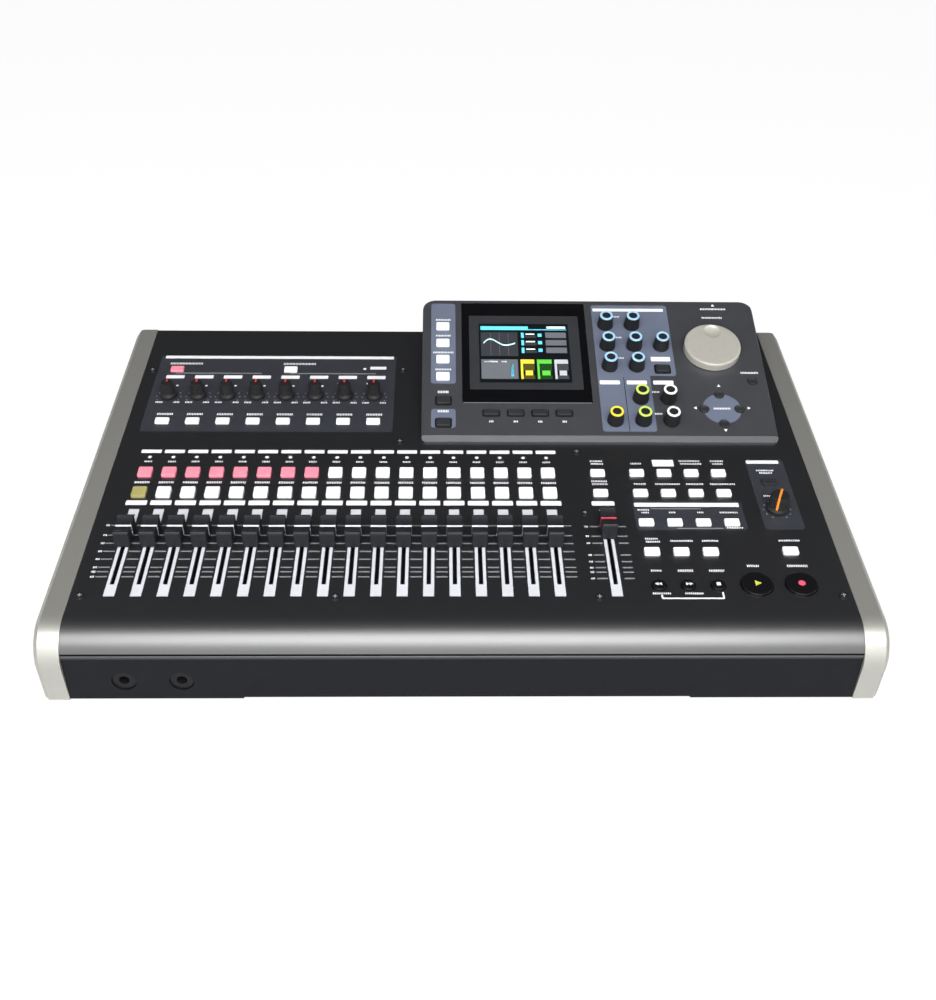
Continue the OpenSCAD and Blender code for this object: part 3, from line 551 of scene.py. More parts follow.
strips = np.concatenate([
    on_panel([
        (x - STRIP_HALF, STRIP_FRONT, x - SLOT_HALF, STRIP_REAR),
        (x + SLOT_HALF, STRIP_FRONT, x + STRIP_HALF, STRIP_REAR),
        (x - SLOT_HALF, STRIP_FRONT, x + SLOT_HALF, SLOT_FRONT),
        (x - SLOT_HALF, SLOT_REAR, x + SLOT_HALF, STRIP_REAR),
    ])
    for x in [*CHANNELS, MASTER]
])
piece("panel_white_print", [white_print], PANEL, [white_ink], "housing")
piece("panel_grey_print", [grey_print], PANEL, [grey_ink], "housing")
piece("fader_strips", [slabs(rounded(strips, CUT_CORNER, 1), 0, INK_LAYER)], PANEL, [strip_ink],
      "housing")

# Panel screws
# Blackened steel machine screws that hold the panel to its frame; a light steel cross laid in
# each cross recess is a painted glint.
RECESS_LONG, RECESS_WIDE, RECESS_CORNER = 3.0, 0.7, 0.1
RECESS_LOW, RECESS_TOP, CROSS_TOP = 0.45, 0.8, 0.78
screw_black = finish("blackened_screw", ink(70, 71, 75), 0.3, metal=0.8, mottle=0.1, relief=0.1)
# A light steel for the painted glints laid in the screw recesses.
painted_glint_steel = finish("painted_glint_steel", ink(176, 176, 180), 0.4, metal=0.4, mottle=0.1, relief=0.1)
dress("panel_screws", screw_black)
SCREWS = panel_places([
    (-235.2, -130.7), (-79.3, -131.8), (83.4, -131.8), (235.2, -130.7), (-235.2, 113.4),
    (81.5, 13.1), (81.5, -52.8), (-43.8, 115), (-43.8, 24.7),
])
# Light steel crosses in the screw recesses: a painted glint on each screw head.
across = rounded(centred(SCREWS, RECESS_LONG, RECESS_WIDE), RECESS_CORNER, 1)
along = rounded(centred(SCREWS, RECESS_WIDE, RECESS_LONG), RECESS_CORNER, 1)
recesses = together(slabs(across, RECESS_LOW, RECESS_TOP), slabs(along, RECESS_LOW, CROSS_TOP))
piece("screw_recesses", [recesses], PANEL, [painted_glint_steel], "housing")

# Front panel and sockets
# A matt painted plate fixed under the nose, with a shallow finger recess, and black 6.3 mm sockets
# behind it; the rear sockets are moulded in black plastic. Its rounded upper edge reflects the
# lights, and the far higher shine given to that edge is a painted highlight that brightens it.
MATT_EDGE, HIGHLIGHT_EDGE = 0.0362, 0.0374
MATT_SHINE, HIGHLIGHT_SHINE = 0.12, 0.9
socket_black = finish("socket_plastic", ink(24, 24, 26), 0.35, shine=0.2, mottle=0.1, relief=0.15)
front_black = finish("front_moulding", ink(22, 23, 27), 0.45, mottle=0.06, grain=1800, relief=0.12)
# The plate's upper edge gets a far higher shine than the rest: a painted highlight along the
# rounded edge.
shine_by_height(front_black, MATT_EDGE, HIGHLIGHT_EDGE, MATT_SHINE, HIGHLIGHT_SHINE)
dress("front_panel", front_black)
dress("jack_sockets", socket_black)

# End cheeks
# Cast metal side plates in silver metallic paint, fixed to the ends of the tray, with a chamfer
# along the outer edge.
cheek_silver = finish("silver_cheek_paint", ink(184, 183, 176), 0.4, metal=0.7, mottle=0.03,
                      patch=2600, grain=4000, relief=0.06)
dress("left_cheek", cheek_silver)
dress("right_cheek", cheek_silver)


# Inside
# Folded steel slide tracks, green circuit boards and the display unit, mounted under the panel
# and the pod and hardly seen through the slots.
def repaint(node, material):
    """Puts a material on a solid that stays as it is."""
    mesh = frame["nodes"][node].data
    mesh.materials.clear()
    mesh.materials.append(material)


track_steel = finish("track_steel", ink(70, 71, 74), 0.5, metal=0.8, mottle=0.12)
board_green = finish("solder_mask", ink(24, 84, 52), 0.4, mottle=0.2, patch=220)
repaint("fader_tracks", track_steel)
repaint("circuit_boards", board_green)
repaint("lcd_module", track_steel)

# Display pod
# A moulded charcoal shell with a fine texture that stands tilted on the panel, with printed
# slate fields, dark surrounds round its keys and white marks.
POD_TILT = math.radians(17)
POD_FACE, POD_FRONT, POD_LIP = 25.5, 22.2, 5.1
POD = (POD_FACE, PANEL_HEIGHT + math.tan(SLOPE) * POD_FRONT + POD_LIP, POD_TILT)
UNDER_LAYER, OVER_LAYER = 0.9 * INK_LAYER, 1.5 * INK_LAYER
SLATE_CORNER, WIDE_SLATE_CORNER, SURROUND_CORNER, DIVIDER_CORNER = 2, 2.2, 1.6, 0.2
pod_grey = finish("charcoal_texture", ink(54, 55, 59), 0.5, ior=1.6, mottle=0.05, grain=2200,
                  relief=0.3)
slate_blue = finish("slate_blue_ink", ink(100, 107, 125), 0.5, shine=0.35, mottle=0.04,
                    relief=0.08)
dark_ink = finish("dark_ink", ink(22, 22, 24), 0.5, shine=0.3, mottle=0.06)
dress("display_pod", pod_grey)
CURSOR, CURSOR_RADIUS, CURSOR_SIDES = (190.2, 25.6), 14, 48
LEFT_SLATES = [(-22, 49.2, -3.5, 131.8), (-21.6, 6.9, -3.9, 24.6)]
REAR_SLATE, FRONT_SLATE = (101.7, 57.5, 160.5, 131), (101.7, 3.9, 140.7, 70)
slate_fields = together(
    slabs(rounded(LEFT_SLATES, SLATE_CORNER), 0, INK_LAYER),
    slabs(rounded([REAR_SLATE], WIDE_SLATE_CORNER), 0, INK_LAYER),
    slabs(rounded([FRONT_SLATE], WIDE_SLATE_CORNER), 0, UNDER_LAYER),
    slabs(discs([CURSOR], CURSOR_RADIUS, CURSOR_SIDES), 0, INK_LAYER),
)
piece("pod_slate_fields", [slate_fields], POD, [slate_blue], "housing")
WIDE_KEYS = np.stack([21.9 + 17.64 * np.arange(4), np.full(4, 20.8)], -1)
DARK_KEYS = np.array([(-12.7, 32.5), (-12.7, 11.5)])
ROUND_KEYS = np.array([(189.8, 39.2), (177.1, 25.4), (202.9, 25.4), (190, 11.6), (216.5, 52.6)])
EQ_KEY = np.array([(150.8, 64.3)])
WIDE_SURROUND, DARK_SURROUND, ROUND_SURROUND = (13, 7), (12.4, 9.4), 3.9
DIVIDER = (120.7, 4, 121.2, 56)
dark_places = np.concatenate([DARK_KEYS, EQ_KEY])
surrounds = together(
    slabs(rounded(centred(WIDE_KEYS, *WIDE_SURROUND), SURROUND_CORNER), 0, OVER_LAYER),
    slabs(rounded(centred(dark_places, *DARK_SURROUND), SURROUND_CORNER), 0, OVER_LAYER),
    slabs(discs(ROUND_KEYS, ROUND_SURROUND), 0, OVER_LAYER),
    slabs(rounded([DIVIDER], DIVIDER_CORNER), 0, OVER_LAYER),
)
piece("pod_dark_print", [surrounds], POD, [dark_ink], "housing")


def arrows(places, size, headings):
    """Three-cornered outlines at the places, each with one corner along its heading in degrees
    from the rear and the others a third of a turn away."""
    corner = np.radians(np.asarray(headings, dtype=float)[:, None] + np.array([0, 240, 120]))
    reach = size * np.stack([np.sin(corner), np.cos(corner)], -1)
    return np.asarray(places, dtype=float)[:, None, :] + reach


# Places, width and height of each printed word on the pod.
POD_WORDS = [
    ([(-12.6, 114.3), (-12.6, 97.6)], 11.4, 1.7),
    ([(-12.6, 80.3)], 15.6, 1.7),
    ([(-12.6, 63.1)], 12, 1.7),
    ([(x, 12.9) for x in WIDE_KEYS[:, 0]], 3.4, 1.7),
    ([(197, 127.4)], 20, 1.7),
    ([(195, 118)], 16, 1.7),
    ([(215.6, 60.9)], 13.4, 1.7),
    ([(190.4, 25.8)], 12.6, 1.7),
    ([(143.6, 41.6), (143.6, 20.6)], 5.6, 1.5),
    ([(-12.7, 40.9), (-12.7, 22.4)], 8.2, 2.2),
    ([(120.6, 118.6), (120.6, 96.6), (120.6, 75.4)], 5.2, 1.5),
]
POD_BARS = [(102.9, 124.4, 157.7, 127.4), (102.9, 49, 117.7, 52.8), (122.9, 49, 137.8, 52.8),
            (142.5, 49, 157.5, 52.8), (143.1, 72.2, 157.7, 76.6)]
POD_ARROWS = [(197.2, 131.2), (190.7, 47.8), (171, 26.4), (209.8, 26.4), (190.2, 5.6)]
ARROW_SIZE, ARROW_HEADINGS = 1.5, (0, 0, 270, 90, 180)
pod_words = np.concatenate([dashes(*word) for word in POD_WORDS])
pod_marks = together(
    slabs(rounded(POD_BARS, BAR_CORNER), 0, INK_TOP),
    slabs(rounded(pod_words, DASH_CORNER, 1), 0, INK_TOP),
    slabs(arrows(POD_ARROWS, ARROW_SIZE, ARROW_HEADINGS), 0, INK_TOP),
)
piece("pod_white_print", [pod_marks], POD, [white_ink], "housing")

# Screen
# A gloss black window glued into the pod, a grey frame printed on it, and the lit display
# with plain coloured fields.
WINDOW = (1.1, 30.3, 96.3, 132.4)
FRAME_EDGE = (6.8, 43.2, 90.6, 118.5)
SCREEN = (14.2, 49.9, 82.5, 110.0)
WINDOW_LOW, WINDOW_TOP, WINDOW_CORNER, WINDOW_FACE_CORNER = -1.0, 0.4, 0.6, 0.4
BEVEL_IN, BEVEL_DOWN = 0.4, 0.3
FRAME_RISE, FRAME_CORNER = 0.1, 0.8
SCREEN_LOW, SCREEN_TOP, SCREEN_CORNER = WINDOW_TOP + 0.05, WINDOW_TOP + 0.16, 0.4
FIELD_RISE, GRID_RISE, CURVE_RISE, LIT_CORNER = 0.04, 0.06, 0.08, 0.15
CURVE_STEPS, CURVE_FADE = 25, 1.5
gloss_black = finish("gloss_window", ink(10, 10, 12), 0.12, shine=0.4, mottle=0.05, relief=0.02)
frame_grey = finish("screen_frame", ink(46, 48, 51), 0.5, shine=0.3, mottle=0.05, relief=0.1)
window_edge = rounded([WINDOW], WINDOW_CORNER)
window_face = np.array(WINDOW) + (BEVEL_IN, BEVEL_IN, -BEVEL_IN, -BEVEL_IN)
window_rings = [window_edge, window_edge, rounded([window_face], WINDOW_FACE_CORNER)]
window_lifts = (WINDOW_LOW, WINDOW_TOP - BEVEL_DOWN, WINDOW_TOP)
printed_frame = slabs(rounded([FRAME_EDGE], FRAME_CORNER), WINDOW_TOP, WINDOW_TOP + FRAME_RISE)
piece("window_glass", [loft(np.stack(window_rings, 1), window_lifts), printed_frame], POD,
      [gloss_black, frame_grey], "housing", ["screen_window"])


def lit(name, colour, strength=0.5):
    """A lit field of the display."""
    return finish(name, colour, 0.3, shine=0.3, mottle=0.03, relief=0.02, glow=strength)


def on_screen(boxes):
    """Boxes given as shares of the screen's width and height."""
    b = np.asarray(boxes, dtype=float).reshape(-1, 4)
    size = np.array([SCREEN[2] - SCREEN[0], SCREEN[3] - SCREEN[1]] * 2)
    return np.array([SCREEN[0], SCREEN[1]] * 2) + b * size


def curve_band(x0, x1, level, swing, width):
    """A thin ribbon in shares of the screen: a level line plus one sine wave that dies away."""
    u = np.linspace(0, 1, CURVE_STEPS)
    x = x0 + (x1 - x0) * u
    y = level + swing * np.sin(2 * math.pi * u) * np.exp(-CURVE_FADE * u)
    under, over = np.stack([x, y - width / 2], -1), np.stack([x, y + width / 2], -1)
    share = np.concatenate([under, over[::-1]])
    return np.array(SCREEN[:2]) + share * (np.array(SCREEN[2:]) - np.array(SCREEN[:2]))


def screen_fields(boxes, rise):
    """Lit rectangles, standing a hair over the display glass."""
    return slabs(rounded(on_screen(boxes), LIT_CORNER, 1), SCREEN_TOP, SCREEN_TOP + rise)


ROWS = (0.755, 0.625, 0.495)
# Colour and boxes, in shares of the screen, of each kind of lit field.
LIT_FIELDS = {
    "cyan": (ink(95, 200, 228), [
        (0.02, 0.89, 0.55, 0.955), (0.55, 0.89, 0.98, 0.905), (0.34, 0.1, 0.375, 0.31),
        *((0.47, y, 0.5, y + 0.09) for y in ROWS),
        *((0.655, y + 0.02, 0.7, y + 0.075) for y in ROWS),
    ]),
    "white": (ink(235, 238, 240), [
        (0.76, 0.92, 0.97, 0.955), (0.05, 0.335, 0.2, 0.36), (0.24, 0.335, 0.3, 0.36),
        *((0.52, y + 0.055, 0.62, y + 0.075) for y in ROWS),
    ]),
    "slate": (ink(92, 95, 100), [
        (0.02, 0.06, 0.42, 0.385), *((0.74, y, 0.97, y + 0.095) for y in ROWS),
    ]),
    "graph": (ink(48, 51, 54), [
        (0.02, 0.44, 0.43, 0.85), *((0.51, y, 0.64, y + 0.04) for y in ROWS),
    ]),
    "yellow": (ink(214, 196, 60), [
        (0.45, 0.315, 0.6, 0.385), (0.45, 0.06, 0.475, 0.315), (0.5, 0.12, 0.58, 0.2),
    ]),
    "moss": (ink(70, 66, 26), [(0.475, 0.06, 0.6, 0.12), (0.475, 0.2, 0.6, 0.315)]),
    "green": (ink(84, 184, 62), [
        (0.63, 0.315, 0.79, 0.385), (0.63, 0.06, 0.655, 0.315), (0.68, 0.12, 0.77, 0.2),
    ]),
    "leaf": (ink(26, 62, 24), [(0.655, 0.06, 0.79, 0.12), (0.655, 0.2, 0.79, 0.315)]),
    "grey": (ink(172, 174, 178), [
        (0.82, 0.315, 0.97, 0.385), (0.82, 0.06, 0.845, 0.315), (0.87, 0.12, 0.95, 0.2),
    ]),
    "ash": (ink(58, 60, 63), [(0.845, 0.06, 0.97, 0.12), (0.845, 0.2, 0.97, 0.315)]),
}
display_parts = [slabs(rounded([SCREEN], SCREEN_CORNER), SCREEN_LOW, SCREEN_TOP)]
display_finishes = [lit("display_black", ink(14, 17, 20), 0.3)]
for name, (colour, boxes) in LIT_FIELDS.items():
    display_parts.append(screen_fields(boxes, FIELD_RISE))
    display_finishes.append(lit("display_" + name, colour))
curve = curve_band(0.05, 0.4, 0.66, 0.1, 0.022)
grid_lines = [(0.03 + 0.39 * k / 4, 0.45, 0.034 + 0.39 * k / 4, 0.84) for k in (1, 2, 3)]
display_parts += [slabs(curve[None], SCREEN_TOP, SCREEN_TOP + CURVE_RISE),
                  screen_fields(grid_lines, GRID_RISE)]
display_finishes += [lit("display_curve", ink(190, 226, 232)), lit("display_grid", ink(92, 94, 98))]
piece("lit_display", display_parts, POD, display_finishes, "housing")


# Keys
# Small moulded caps with rounded edges that slide in punched holes and press on switches below;
# white ones are translucent, with a faint painted glow for light through the plastic; armed ones
# glow pink.
KEY_TOP, KEY_FOOT, POD_KEY_FOOT, KEY_CORNER = 1.8, -2.4, -3, 1.0
CAP_EDGE, BUTTON_EDGE, EDGE_TURN = 0.45, 0.5, 0.3
BUTTON_SIDES, DISH_SHARE = 40, 0.5


def caps(boxes, low=KEY_FOOT):
    """Key caps: straight sides, an edge rounded over in three steps, a flat top."""
    b = np.asarray(boxes, dtype=float).reshape(-1, 4)
    inward = np.array([0, 0, EDGE_TURN, 1.0]) * CAP_EDGE
    lifts = (low, KEY_TOP - CAP_EDGE, KEY_TOP - EDGE_TURN * CAP_EDGE, KEY_TOP)
    rings = [rounded(b + np.array([i, i, -i, -i]), KEY_CORNER - i) for i in inward]
    return loft(np.stack(rings, 1), lifts)


def buttons(places, radius, high=KEY_TOP, low=KEY_FOOT, dish=0.0):
    """Round caps: a straight side, a rounded edge and a top that sinks a little to its middle."""
    turn = EDGE_TURN * BUTTON_EDGE
    radii = (radius, radius, radius - turn, radius - BUTTON_EDGE, radius * DISH_SHARE)
    lifts = (low, high - BUTTON_EDGE, high - turn, high, high - dish)
    return loft(np.stack([discs(places, r, BUTTON_SIDES) for r in radii], 1), lifts)


# The white caps' faint glow is painted light, standing in for light through the translucent
# plastic.
key_white = finish("translucent_white_painted_glow", ink(240, 241, 243), 0.35, shine=0.45, mottle=0.02,
                   relief=0.05, glow=0.08)
key_pink = finish("lit_pink", ink(232, 138, 156), 0.35, shine=0.4, mottle=0.06, patch=150,
                  relief=0.05, glow=0.12)
key_olive = finish("lit_olive", ink(164, 158, 100), 0.35, shine=0.4, mottle=0.06, patch=150,
                   relief=0.05, glow=0.05)
key_dark = finish("dark_key_plastic", ink(42, 43, 46), 0.4, shine=0.45, mottle=0.06, relief=0.08)
key_black = finish("gloss_key_black", ink(14, 14, 16), 0.25, shine=0.5, mottle=0.06, relief=0.04)
ARMED = 8
record_keys = row(CHANNELS, -11.2, 9.6, 9.6)
select_keys = row(CHANNELS, -32.7, 9.6, 10.2)
plain_keys = np.concatenate([record_keys[ARMED:], select_keys[1:]])
piece("channel_keys", [caps(plain_keys), caps(record_keys[:ARMED]), caps(select_keys[:1])], PANEL,
      [key_white, key_pink, key_olive], "channel_buttons", ["channel_buttons"])
FUNCTION_KEY = (10, 6.5)
# Places across and depth of each row of white function keys.
FUNCTION_ROWS = [
    (SOURCES, 47.6), (GRID, -11), (GRID, -32.6), (GRID, -63), (GRID[:3], -91.2), ([-129.7], 113.9),
    ([211], -90.5), ([MASTER - 0.7], -11.2), ([MASTER - 0.7], -32.7),
]
function_keys = np.concatenate([row(xs, y, *FUNCTION_KEY) for xs, y in FUNCTION_ROWS])
phantom_key, phones_key = row([-216.3], 113.9, *FUNCTION_KEY), row([211.3], -20.8, *FUNCTION_KEY)
piece("function_keys", [caps(function_keys), caps(phantom_key), caps(phones_key)], PANEL,
      [key_white, key_pink, key_dark], "function_buttons", ["function_buttons"])
SMALL = panel_places([(121.6, -122), (139.9, -122), (158.7, -122)])
PLAY, RECORD = panel_places([(183.1, -121.2), (211.1, -121.2)])
SMALL_RADIUS, LARGE_RADIUS, LARGE_DISH = 4.5, 10, 0.25
GLYPH_LOW, LARGE_GLYPH_LOW, GLYPH_TOP = KEY_TOP - 0.3, KEY_TOP - 0.4, KEY_TOP + 0.08
WIND_SIZE, STOP_SIZE, STOP_CORNER, PLAY_SIZE, RECORD_RADIUS = 1.5, 2.6, 0.2, 2.7, 2.2
glyph_yellow = finish("play_mark", ink(192, 192, 74), 0.4, mottle=0.04, glow=0.1)
glyph_pink = finish("record_mark", ink(232, 84, 110), 0.4, mottle=0.04, glow=0.1)
back_places = SMALL[0] + np.array([(-1.4, 0), (0.9, 0)])
ahead_places = SMALL[1] + np.array([(-0.9, 0), (1.4, 0)])
stop_box = centred(SMALL[2:], STOP_SIZE, STOP_SIZE)
white_glyphs = together(
    slabs(arrows(back_places, WIND_SIZE, (270, 270)), GLYPH_LOW, GLYPH_TOP),
    slabs(arrows(ahead_places, WIND_SIZE, (90, 90)), GLYPH_LOW, GLYPH_TOP),
    slabs(rounded(stop_box, STOP_CORNER), GLYPH_LOW, GLYPH_TOP),
)
large_keys = buttons([PLAY, RECORD], LARGE_RADIUS, dish=LARGE_DISH)
piece(
    "transport_keys",
    [together(buttons(SMALL, SMALL_RADIUS), large_keys), white_glyphs,
     slabs(arrows([PLAY], PLAY_SIZE, (90,)), LARGE_GLYPH_LOW, GLYPH_TOP),
     slabs(discs([RECORD], RECORD_RADIUS), LARGE_GLYPH_LOW, GLYPH_TOP)],
    PANEL, [key_black, white_ink, glyph_yellow, glyph_pink], "transport_buttons",
    ["transport_buttons"],
)
POD_WHITE = np.array([(-13.1, s) for s in (106.8, 89.5, 72.8, 55.6)])
POD_KEY, WIDE_KEY = (10, 7.3), (11, 5)
ROUND_RADIUS, ROUND_TOP, ROUND_DISH = 3.5, 0.9, 0.5
pod_dark_keys = together(
    caps(centred(DARK_KEYS, *POD_KEY), POD_KEY_FOOT),
    caps(centred(WIDE_KEYS, *WIDE_KEY), POD_KEY_FOOT),
    caps(centred(EQ_KEY, *FUNCTION_KEY), POD_KEY_FOOT),
    buttons(ROUND_KEYS, ROUND_RADIUS, ROUND_TOP, POD_KEY_FOOT, ROUND_DISH),
)
piece("pod_keys", [caps(centred(POD_WHITE, *POD_KEY), POD_KEY_FOOT), pod_dark_keys], POD,
      [key_white, key_dark], "pod_buttons", ["pod_buttons"])


# Faders
# Moulded caps with a finger saddle and a line across, pushed onto thin steel blades
# that reach down into the slide tracks.
CAP_LENGTH, CAP_WIDTH, CAP_HEIGHT, CAP_SADDLE, CAP_FOOT = 20.0, 10.0, 12.3, 2.2, 0.8
FLANK_IN, FLANK_SCALE = 0.45, 0.95
CAP_DIP = CAP_HEIGHT - CAP_SADDLE
SADDLE_SHARE, SADDLE_STEPS = 0.8, 15
LINE_HALF, LINE_SINK, LINE_RISE, LINE_PROUD = 0.75, 0.6, 0.12, 0.05
FLANK_LINE_HALF, FLANK_LINE_LOW, FLANK_LINE_DEEP = 0.6, 2.5, 0.4
BLADE_HALF, BLADE_REACH, BLADE_LOW, BLADE_TOP = 0.6, 2.4, -7, 2


def cap_profile():
    """Side view (along, lift): foot, slightly leaning ends, rounded shoulders and between them
    a saddle, an arc whose radius follows from its reach and depth."""
    half = CAP_LENGTH / 2
    reach = SADDLE_SHARE * half
    radius = (reach**2 + CAP_SADDLE**2) / (2 * CAP_SADDLE)
    along = np.linspace(reach, -reach, SADDLE_STEPS)
    dip = CAP_DIP + radius - np.sqrt(radius**2 - along**2)
    shoulder = np.array([(half, CAP_FOOT), (half - 0.5, CAP_HEIGHT - 1.3),
                         (half - 0.9, CAP_HEIGHT - 0.4), (half - 1.4, CAP_HEIGHT)])
    return np.concatenate([shoulder, np.stack([along, dip], -1), shoulder[::-1] * (-1, 1)])


def fader_cap(x, along):
    """The side view carried across the cap's width, drawn in a little at both flanks."""
    outline = cap_profile()
    count = len(outline)
    middle = outline.mean(0)
    across = np.array([-0.5, -0.5, 0.5, 0.5]) * CAP_WIDTH + (0, FLANK_IN, -FLANK_IN, 0)
    scale = np.array([FLANK_SCALE, 1.0, 1.0, FLANK_SCALE])[:, None, None]
    ring = middle + (outline - middle)[None] * scale
    across = np.broadcast_to(across[:, None, None], (4, count, 1))
    points = np.concatenate([across, ring], -1).reshape(-1, 3)
    loop = np.arange(count)
    ends = [loop.tolist(), (loop[::-1] + 3 * count).tolist()]
    return points + (x, along, 0), quads(4, count)[:, ::-1].tolist() + ends


def block(x0, x1, y0, y1, low, high):
    """A closed block between two lifts."""
    return slabs(rounded([(x0, y0, x1, y1)], CUT_CORNER, 1), low, high)


cap_grey = finish("fader_cap_grey", ink(28, 30, 34), 0.45, shine=0.32, mottle=0.05, grain=2500,
                  relief=0.15)
line_white = finish("cap_line_white", ink(232, 233, 235), 0.5, mottle=0.03)
line_red = finish("cap_line_red", ink(214, 74, 92), 0.5, mottle=0.03)
blade_steel = finish("blade_steel", ink(150, 151, 155), 0.35, metal=0.9, mottle=0.1)
FADERS = [("fader_%02d" % (i + 1), x, -77.6, line_white) for i, x in enumerate(CHANNELS)]
FADERS.append(("master_fader", MASTER, -69.5, line_red))
for name, x, y, line_paint in FADERS:
    v = float(depth(y))
    left, right = x - CAP_WIDTH / 2, x + CAP_WIDTH / 2
    flank_front, flank_rear = v - FLANK_LINE_HALF, v + FLANK_LINE_HALF
    line = together(
        block(left - LINE_PROUD, right + LINE_PROUD, v - LINE_HALF, v + LINE_HALF,
              CAP_DIP - LINE_SINK, CAP_DIP + LINE_RISE),
        block(left - LINE_PROUD, left + FLANK_LINE_DEEP, flank_front, flank_rear,
              FLANK_LINE_LOW, CAP_DIP),
        block(right - FLANK_LINE_DEEP, right + LINE_PROUD, flank_front, flank_rear,
              FLANK_LINE_LOW, CAP_DIP),
    )
    blade = block(x - BLADE_HALF, x + BLADE_HALF, v - BLADE_REACH, v + BLADE_REACH,
                  BLADE_LOW, BLADE_TOP)
    piece(name + "_cap", [fader_cap(x, v), line, blade], PANEL,
          [cap_grey, line_paint, blade_steel], name, [name])


# Knobs
# Turned and moulded knobs pushed onto 6 mm shafts: trim knobs with a red pointer, encoders with a
# coloured ring round a sunk top, and the monitor level knob with an orange pointer.
def turned(outline, sides, ribs=0, rib_depth=0.0, ribbed=()):
    """A profile (radius, lift) spun round its axis; ribs ripple the radius of the listed profile
    points by a cosine of the turn."""
    p = np.asarray(outline, dtype=float)
    a = np.linspace(0, 2 * math.pi, sides, endpoint=False)
    ripple = np.zeros(len(p))
    ripple[list(ribbed)] = rib_depth
    radius = p[:, :1] - ripple[:, None] * (0.5 - 0.5 * np.cos(ribs * a))[None, :]
    lift = np.broadcast_to(p[:, 1:], radius.shape)
    points = np.stack([radius * np.cos(a), radius * np.sin(a), lift], -1)
    loop = np.arange(sides)
    ends = [loop[::-1].tolist(), (loop + (len(p) - 1) * sides).tolist()]
    return points.reshape(-1, 3), quads(len(p), sides).tolist() + ends


def shift(shape, x, along):
    """A shape moved across and along its plane."""
    return shape[0] + (x, along, 0), shape[1]


def pointer(place, heading, start, end, width, low, high):
    """A bar that runs outwards from a knob's axis at a heading from the rear, clockwise."""
    a = math.radians(heading)
    out, side = np.array([math.sin(a), math.cos(a)]), np.array([math.cos(a), -math.sin(a)])
    ends = np.array([(start, -1), (end, -1), (end, 1), (start, 1)])
    outline = np.array(place) + ends[:, :1] * out + ends[:, 1:] * side * width / 2
    return slabs(outline[::-1][None], low, high)


SHAFT, SHAFT_END, GAP = 3.0, -9.0, 0.5
STEM = [(SHAFT, SHAFT_END), (SHAFT, GAP)]
SKIRT = [(5.7, GAP), (6.0, GAP + 0.3)]
knob_black = finish("soft_knob_black", ink(28, 28, 30), 0.55, shine=0.35, mottle=0.08, grain=2500,
                    relief=0.3)
pointer_red = finish("pointer_red", ink(206, 54, 52), 0.45, mottle=0.04)
pointer_orange = finish("pointer_orange", ink(238, 140, 44), 0.45, mottle=0.04)

TRIM_PROFILE = STEM + SKIRT + [(6.0, 2.5), (5.7, 3.1), (5.0, 3.9), (4.9, 4.6), (4.6, 12.2),
                               (4.3, 12.8), (3.9, 13.0), (1.0, 13.0)]
TRIM_MARK_WIDTH, MARK_LOW, MARK_TOP, TRIM_WAIST, TRIM_TOP = 1.3, 12.6, 13.06, 4.6, 13.0
trim_body = turned(TRIM_PROFILE, sides=72, ribs=18, rib_depth=0.35, ribbed=(7, 8))
for i, x in enumerate(TRIMS):
    place = (x, float(depth(TRIM_ROW)))
    mark = together(
        pointer(place, 0, 0.6, 4.35, TRIM_MARK_WIDTH, MARK_LOW, MARK_TOP),
        pointer(place, 0, 4.2, 4.95, TRIM_MARK_WIDTH, TRIM_WAIST, TRIM_TOP),
    )
    name = "trim_knob_%d" % (i + 1)
    piece(name + "_cap", [shift(trim_body, *place), mark], PANEL, [knob_black, pointer_red], name,
          [name])

RING_PAINTS = {
    "blue": finish("ring_blue", ink(158, 200, 232), 0.4, mottle=0.03),
    "yellow": finish("ring_yellow", ink(238, 214, 58), 0.4, mottle=0.03),
    "green": finish("ring_green", ink(196, 220, 92), 0.4, mottle=0.03),
    "white": finish("ring_white", ink(238, 238, 238), 0.4, mottle=0.03),
}
ENCODERS = [
    (111.2, 108.8, "blue"), (131.5, 108.8, "blue"), (111.2, 87, "blue"), (131.5, 87, "blue"),
    (151.8, 87, "blue"), (111.2, 66.2, "blue"), (131.5, 66.2, "blue"), (111.2, 13.3, "yellow"),
    (131.5, 34.3, "green"), (131.5, 13.3, "green"), (151.8, 34.3, "white"), (151.8, 13.3, "white"),
]
ENCODER_PROFILE = STEM + SKIRT + [(6.0, 1.7), (5.0, 11.0), (4.9, 11.2)]
RING_PROFILE = [(4.8, 10.6), (4.92, 11.3), (4.75, 11.8), (4.4, 12.0), (3.6, 12.0), (3.3, 11.8),
                (3.2, 11.3)]
SUNK_TOP_PROFILE = [(3.4, 11.0), (3.3, 11.45), (2.0, 11.5), (0.3, 11.52)]
encoder_stem = turned(ENCODER_PROFILE, sides=64, ribs=32, rib_depth=0.18, ribbed=(4, 5))
encoder_body = together(encoder_stem, turned(SUNK_TOP_PROFILE, sides=32))
encoder_ring = turned(RING_PROFILE, sides=64)
for i, (x, s, paint) in enumerate(ENCODERS):
    name = "encoder_%02d" % (i + 1)
    piece(name + "_cap", [shift(encoder_body, x, s), shift(encoder_ring, x, s)], POD,
          [knob_black, RING_PAINTS[paint]], name, [name])

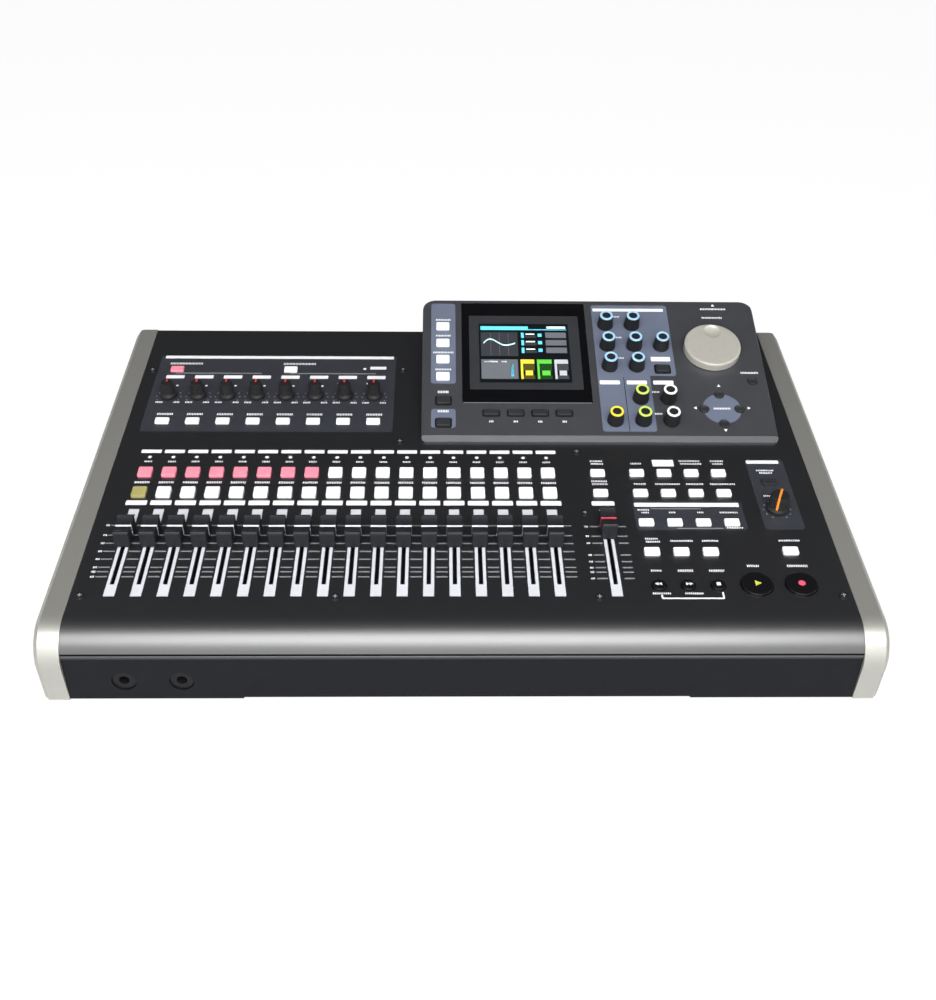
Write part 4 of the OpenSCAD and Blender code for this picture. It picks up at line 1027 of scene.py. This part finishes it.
LEVEL_PROFILE = STEM + [(7.2, GAP), (7.5, GAP + 0.3), (7.5, 2.6), (7.2, 3.2), (6.75, 3.8),
                        (6.7, 4.4), (6.25, 12.2), (5.9, 12.8), (5.5, 13.0), (1.0, 13.0)]
LEVEL_TURN, LEVEL_MARK_WIDTH, LEVEL_WAIST, LEVEL_SHOULDER = 22, 1.5, 4.4, 12.9
level_body = turned(LEVEL_PROFILE, sides=96, ribs=24, rib_depth=0.4, ribbed=(7, 8))
level_mark = together(
    pointer(LEVEL, LEVEL_TURN, -5.9, 5.9, LEVEL_MARK_WIDTH, MARK_LOW, MARK_TOP),
    *(pointer(LEVEL, turn, 5.7, 6.72, LEVEL_MARK_WIDTH, LEVEL_WAIST, LEVEL_SHOULDER)
      for turn in (LEVEL_TURN, LEVEL_TURN + 180)),
)
piece("level_knob_cap", [shift(level_body, *LEVEL), level_mark], PANEL,
      [knob_black, pointer_orange], "level_knob", ["level_knob"])

# Jog wheel
# A turned aluminium disc in champagne anodise, pushed onto the shaft of an encoder in the pod,
# with a finger dimple milled near its edge.
JOG, JOG_RADIUS, JOG_TOP, JOG_SHAFT = (189.9, 83.5), 21.2, 7.0, 4.0
DIMPLE, DIMPLE_RADIUS, DIMPLE_SPHERE = np.array([1.2, JOG_RADIUS - 7.8]), 6.6, 12.0
JOG_SIDES, JOG_RINGS = 160, 60


def wheel():
    """A disc: straight side, rounded rim, flat top on a polar grid that sinks by a spherical cap
    at the dimple."""
    a = np.linspace(0, 2 * math.pi, JOG_SIDES, endpoint=False)
    side = np.array([
        (JOG_SHAFT, SHAFT_END), (JOG_SHAFT, GAP), (JOG_RADIUS - 0.3, GAP),
        (JOG_RADIUS, GAP + 0.3), (JOG_RADIUS, JOG_TOP - 1.2),
        (JOG_RADIUS - 0.35, JOG_TOP - 0.35), (JOG_RADIUS - 1.2, JOG_TOP),
    ])
    radius = np.concatenate([side[:, 0], np.linspace(JOG_RADIUS - 1.6, 0.3, JOG_RINGS)])
    lift = np.concatenate([side[:, 1], np.full(JOG_RINGS, JOG_TOP)])
    x, y = radius[:, None] * np.cos(a), radius[:, None] * np.sin(a)
    off = np.hypot(x - DIMPLE[0], y - DIMPLE[1])
    rim = math.sqrt(DIMPLE_SPHERE**2 - DIMPLE_RADIUS**2)
    sink = np.sqrt(np.maximum(DIMPLE_SPHERE**2 - off**2, 0)) - rim
    top = (np.arange(len(radius)) >= len(side))[:, None]
    z = lift[:, None] - np.where(top & (off < DIMPLE_RADIUS), np.maximum(sink, 0), 0)
    loop = np.arange(JOG_SIDES)
    ends = [loop[::-1].tolist(), (loop + (len(radius) - 1) * JOG_SIDES).tolist()]
    points = np.stack([x, y, z], -1).reshape(-1, 3)
    return points, quads(len(radius), JOG_SIDES).tolist() + ends


champagne = finish("champagne_anodise", ink(206, 203, 192), 0.36, metal=0.45, mottle=0.02,
                   patch=300, grain=3500, relief=0.05)
piece("jog_disc", [shift(wheel(), *JOG)], POD, [champagne], "jog_wheel", ["jog_wheel"])

# Power switch
# A round push button moulded in black plastic, which slides in its switch behind a hole
# in the rear panel.
dress("power_switch", key_black)
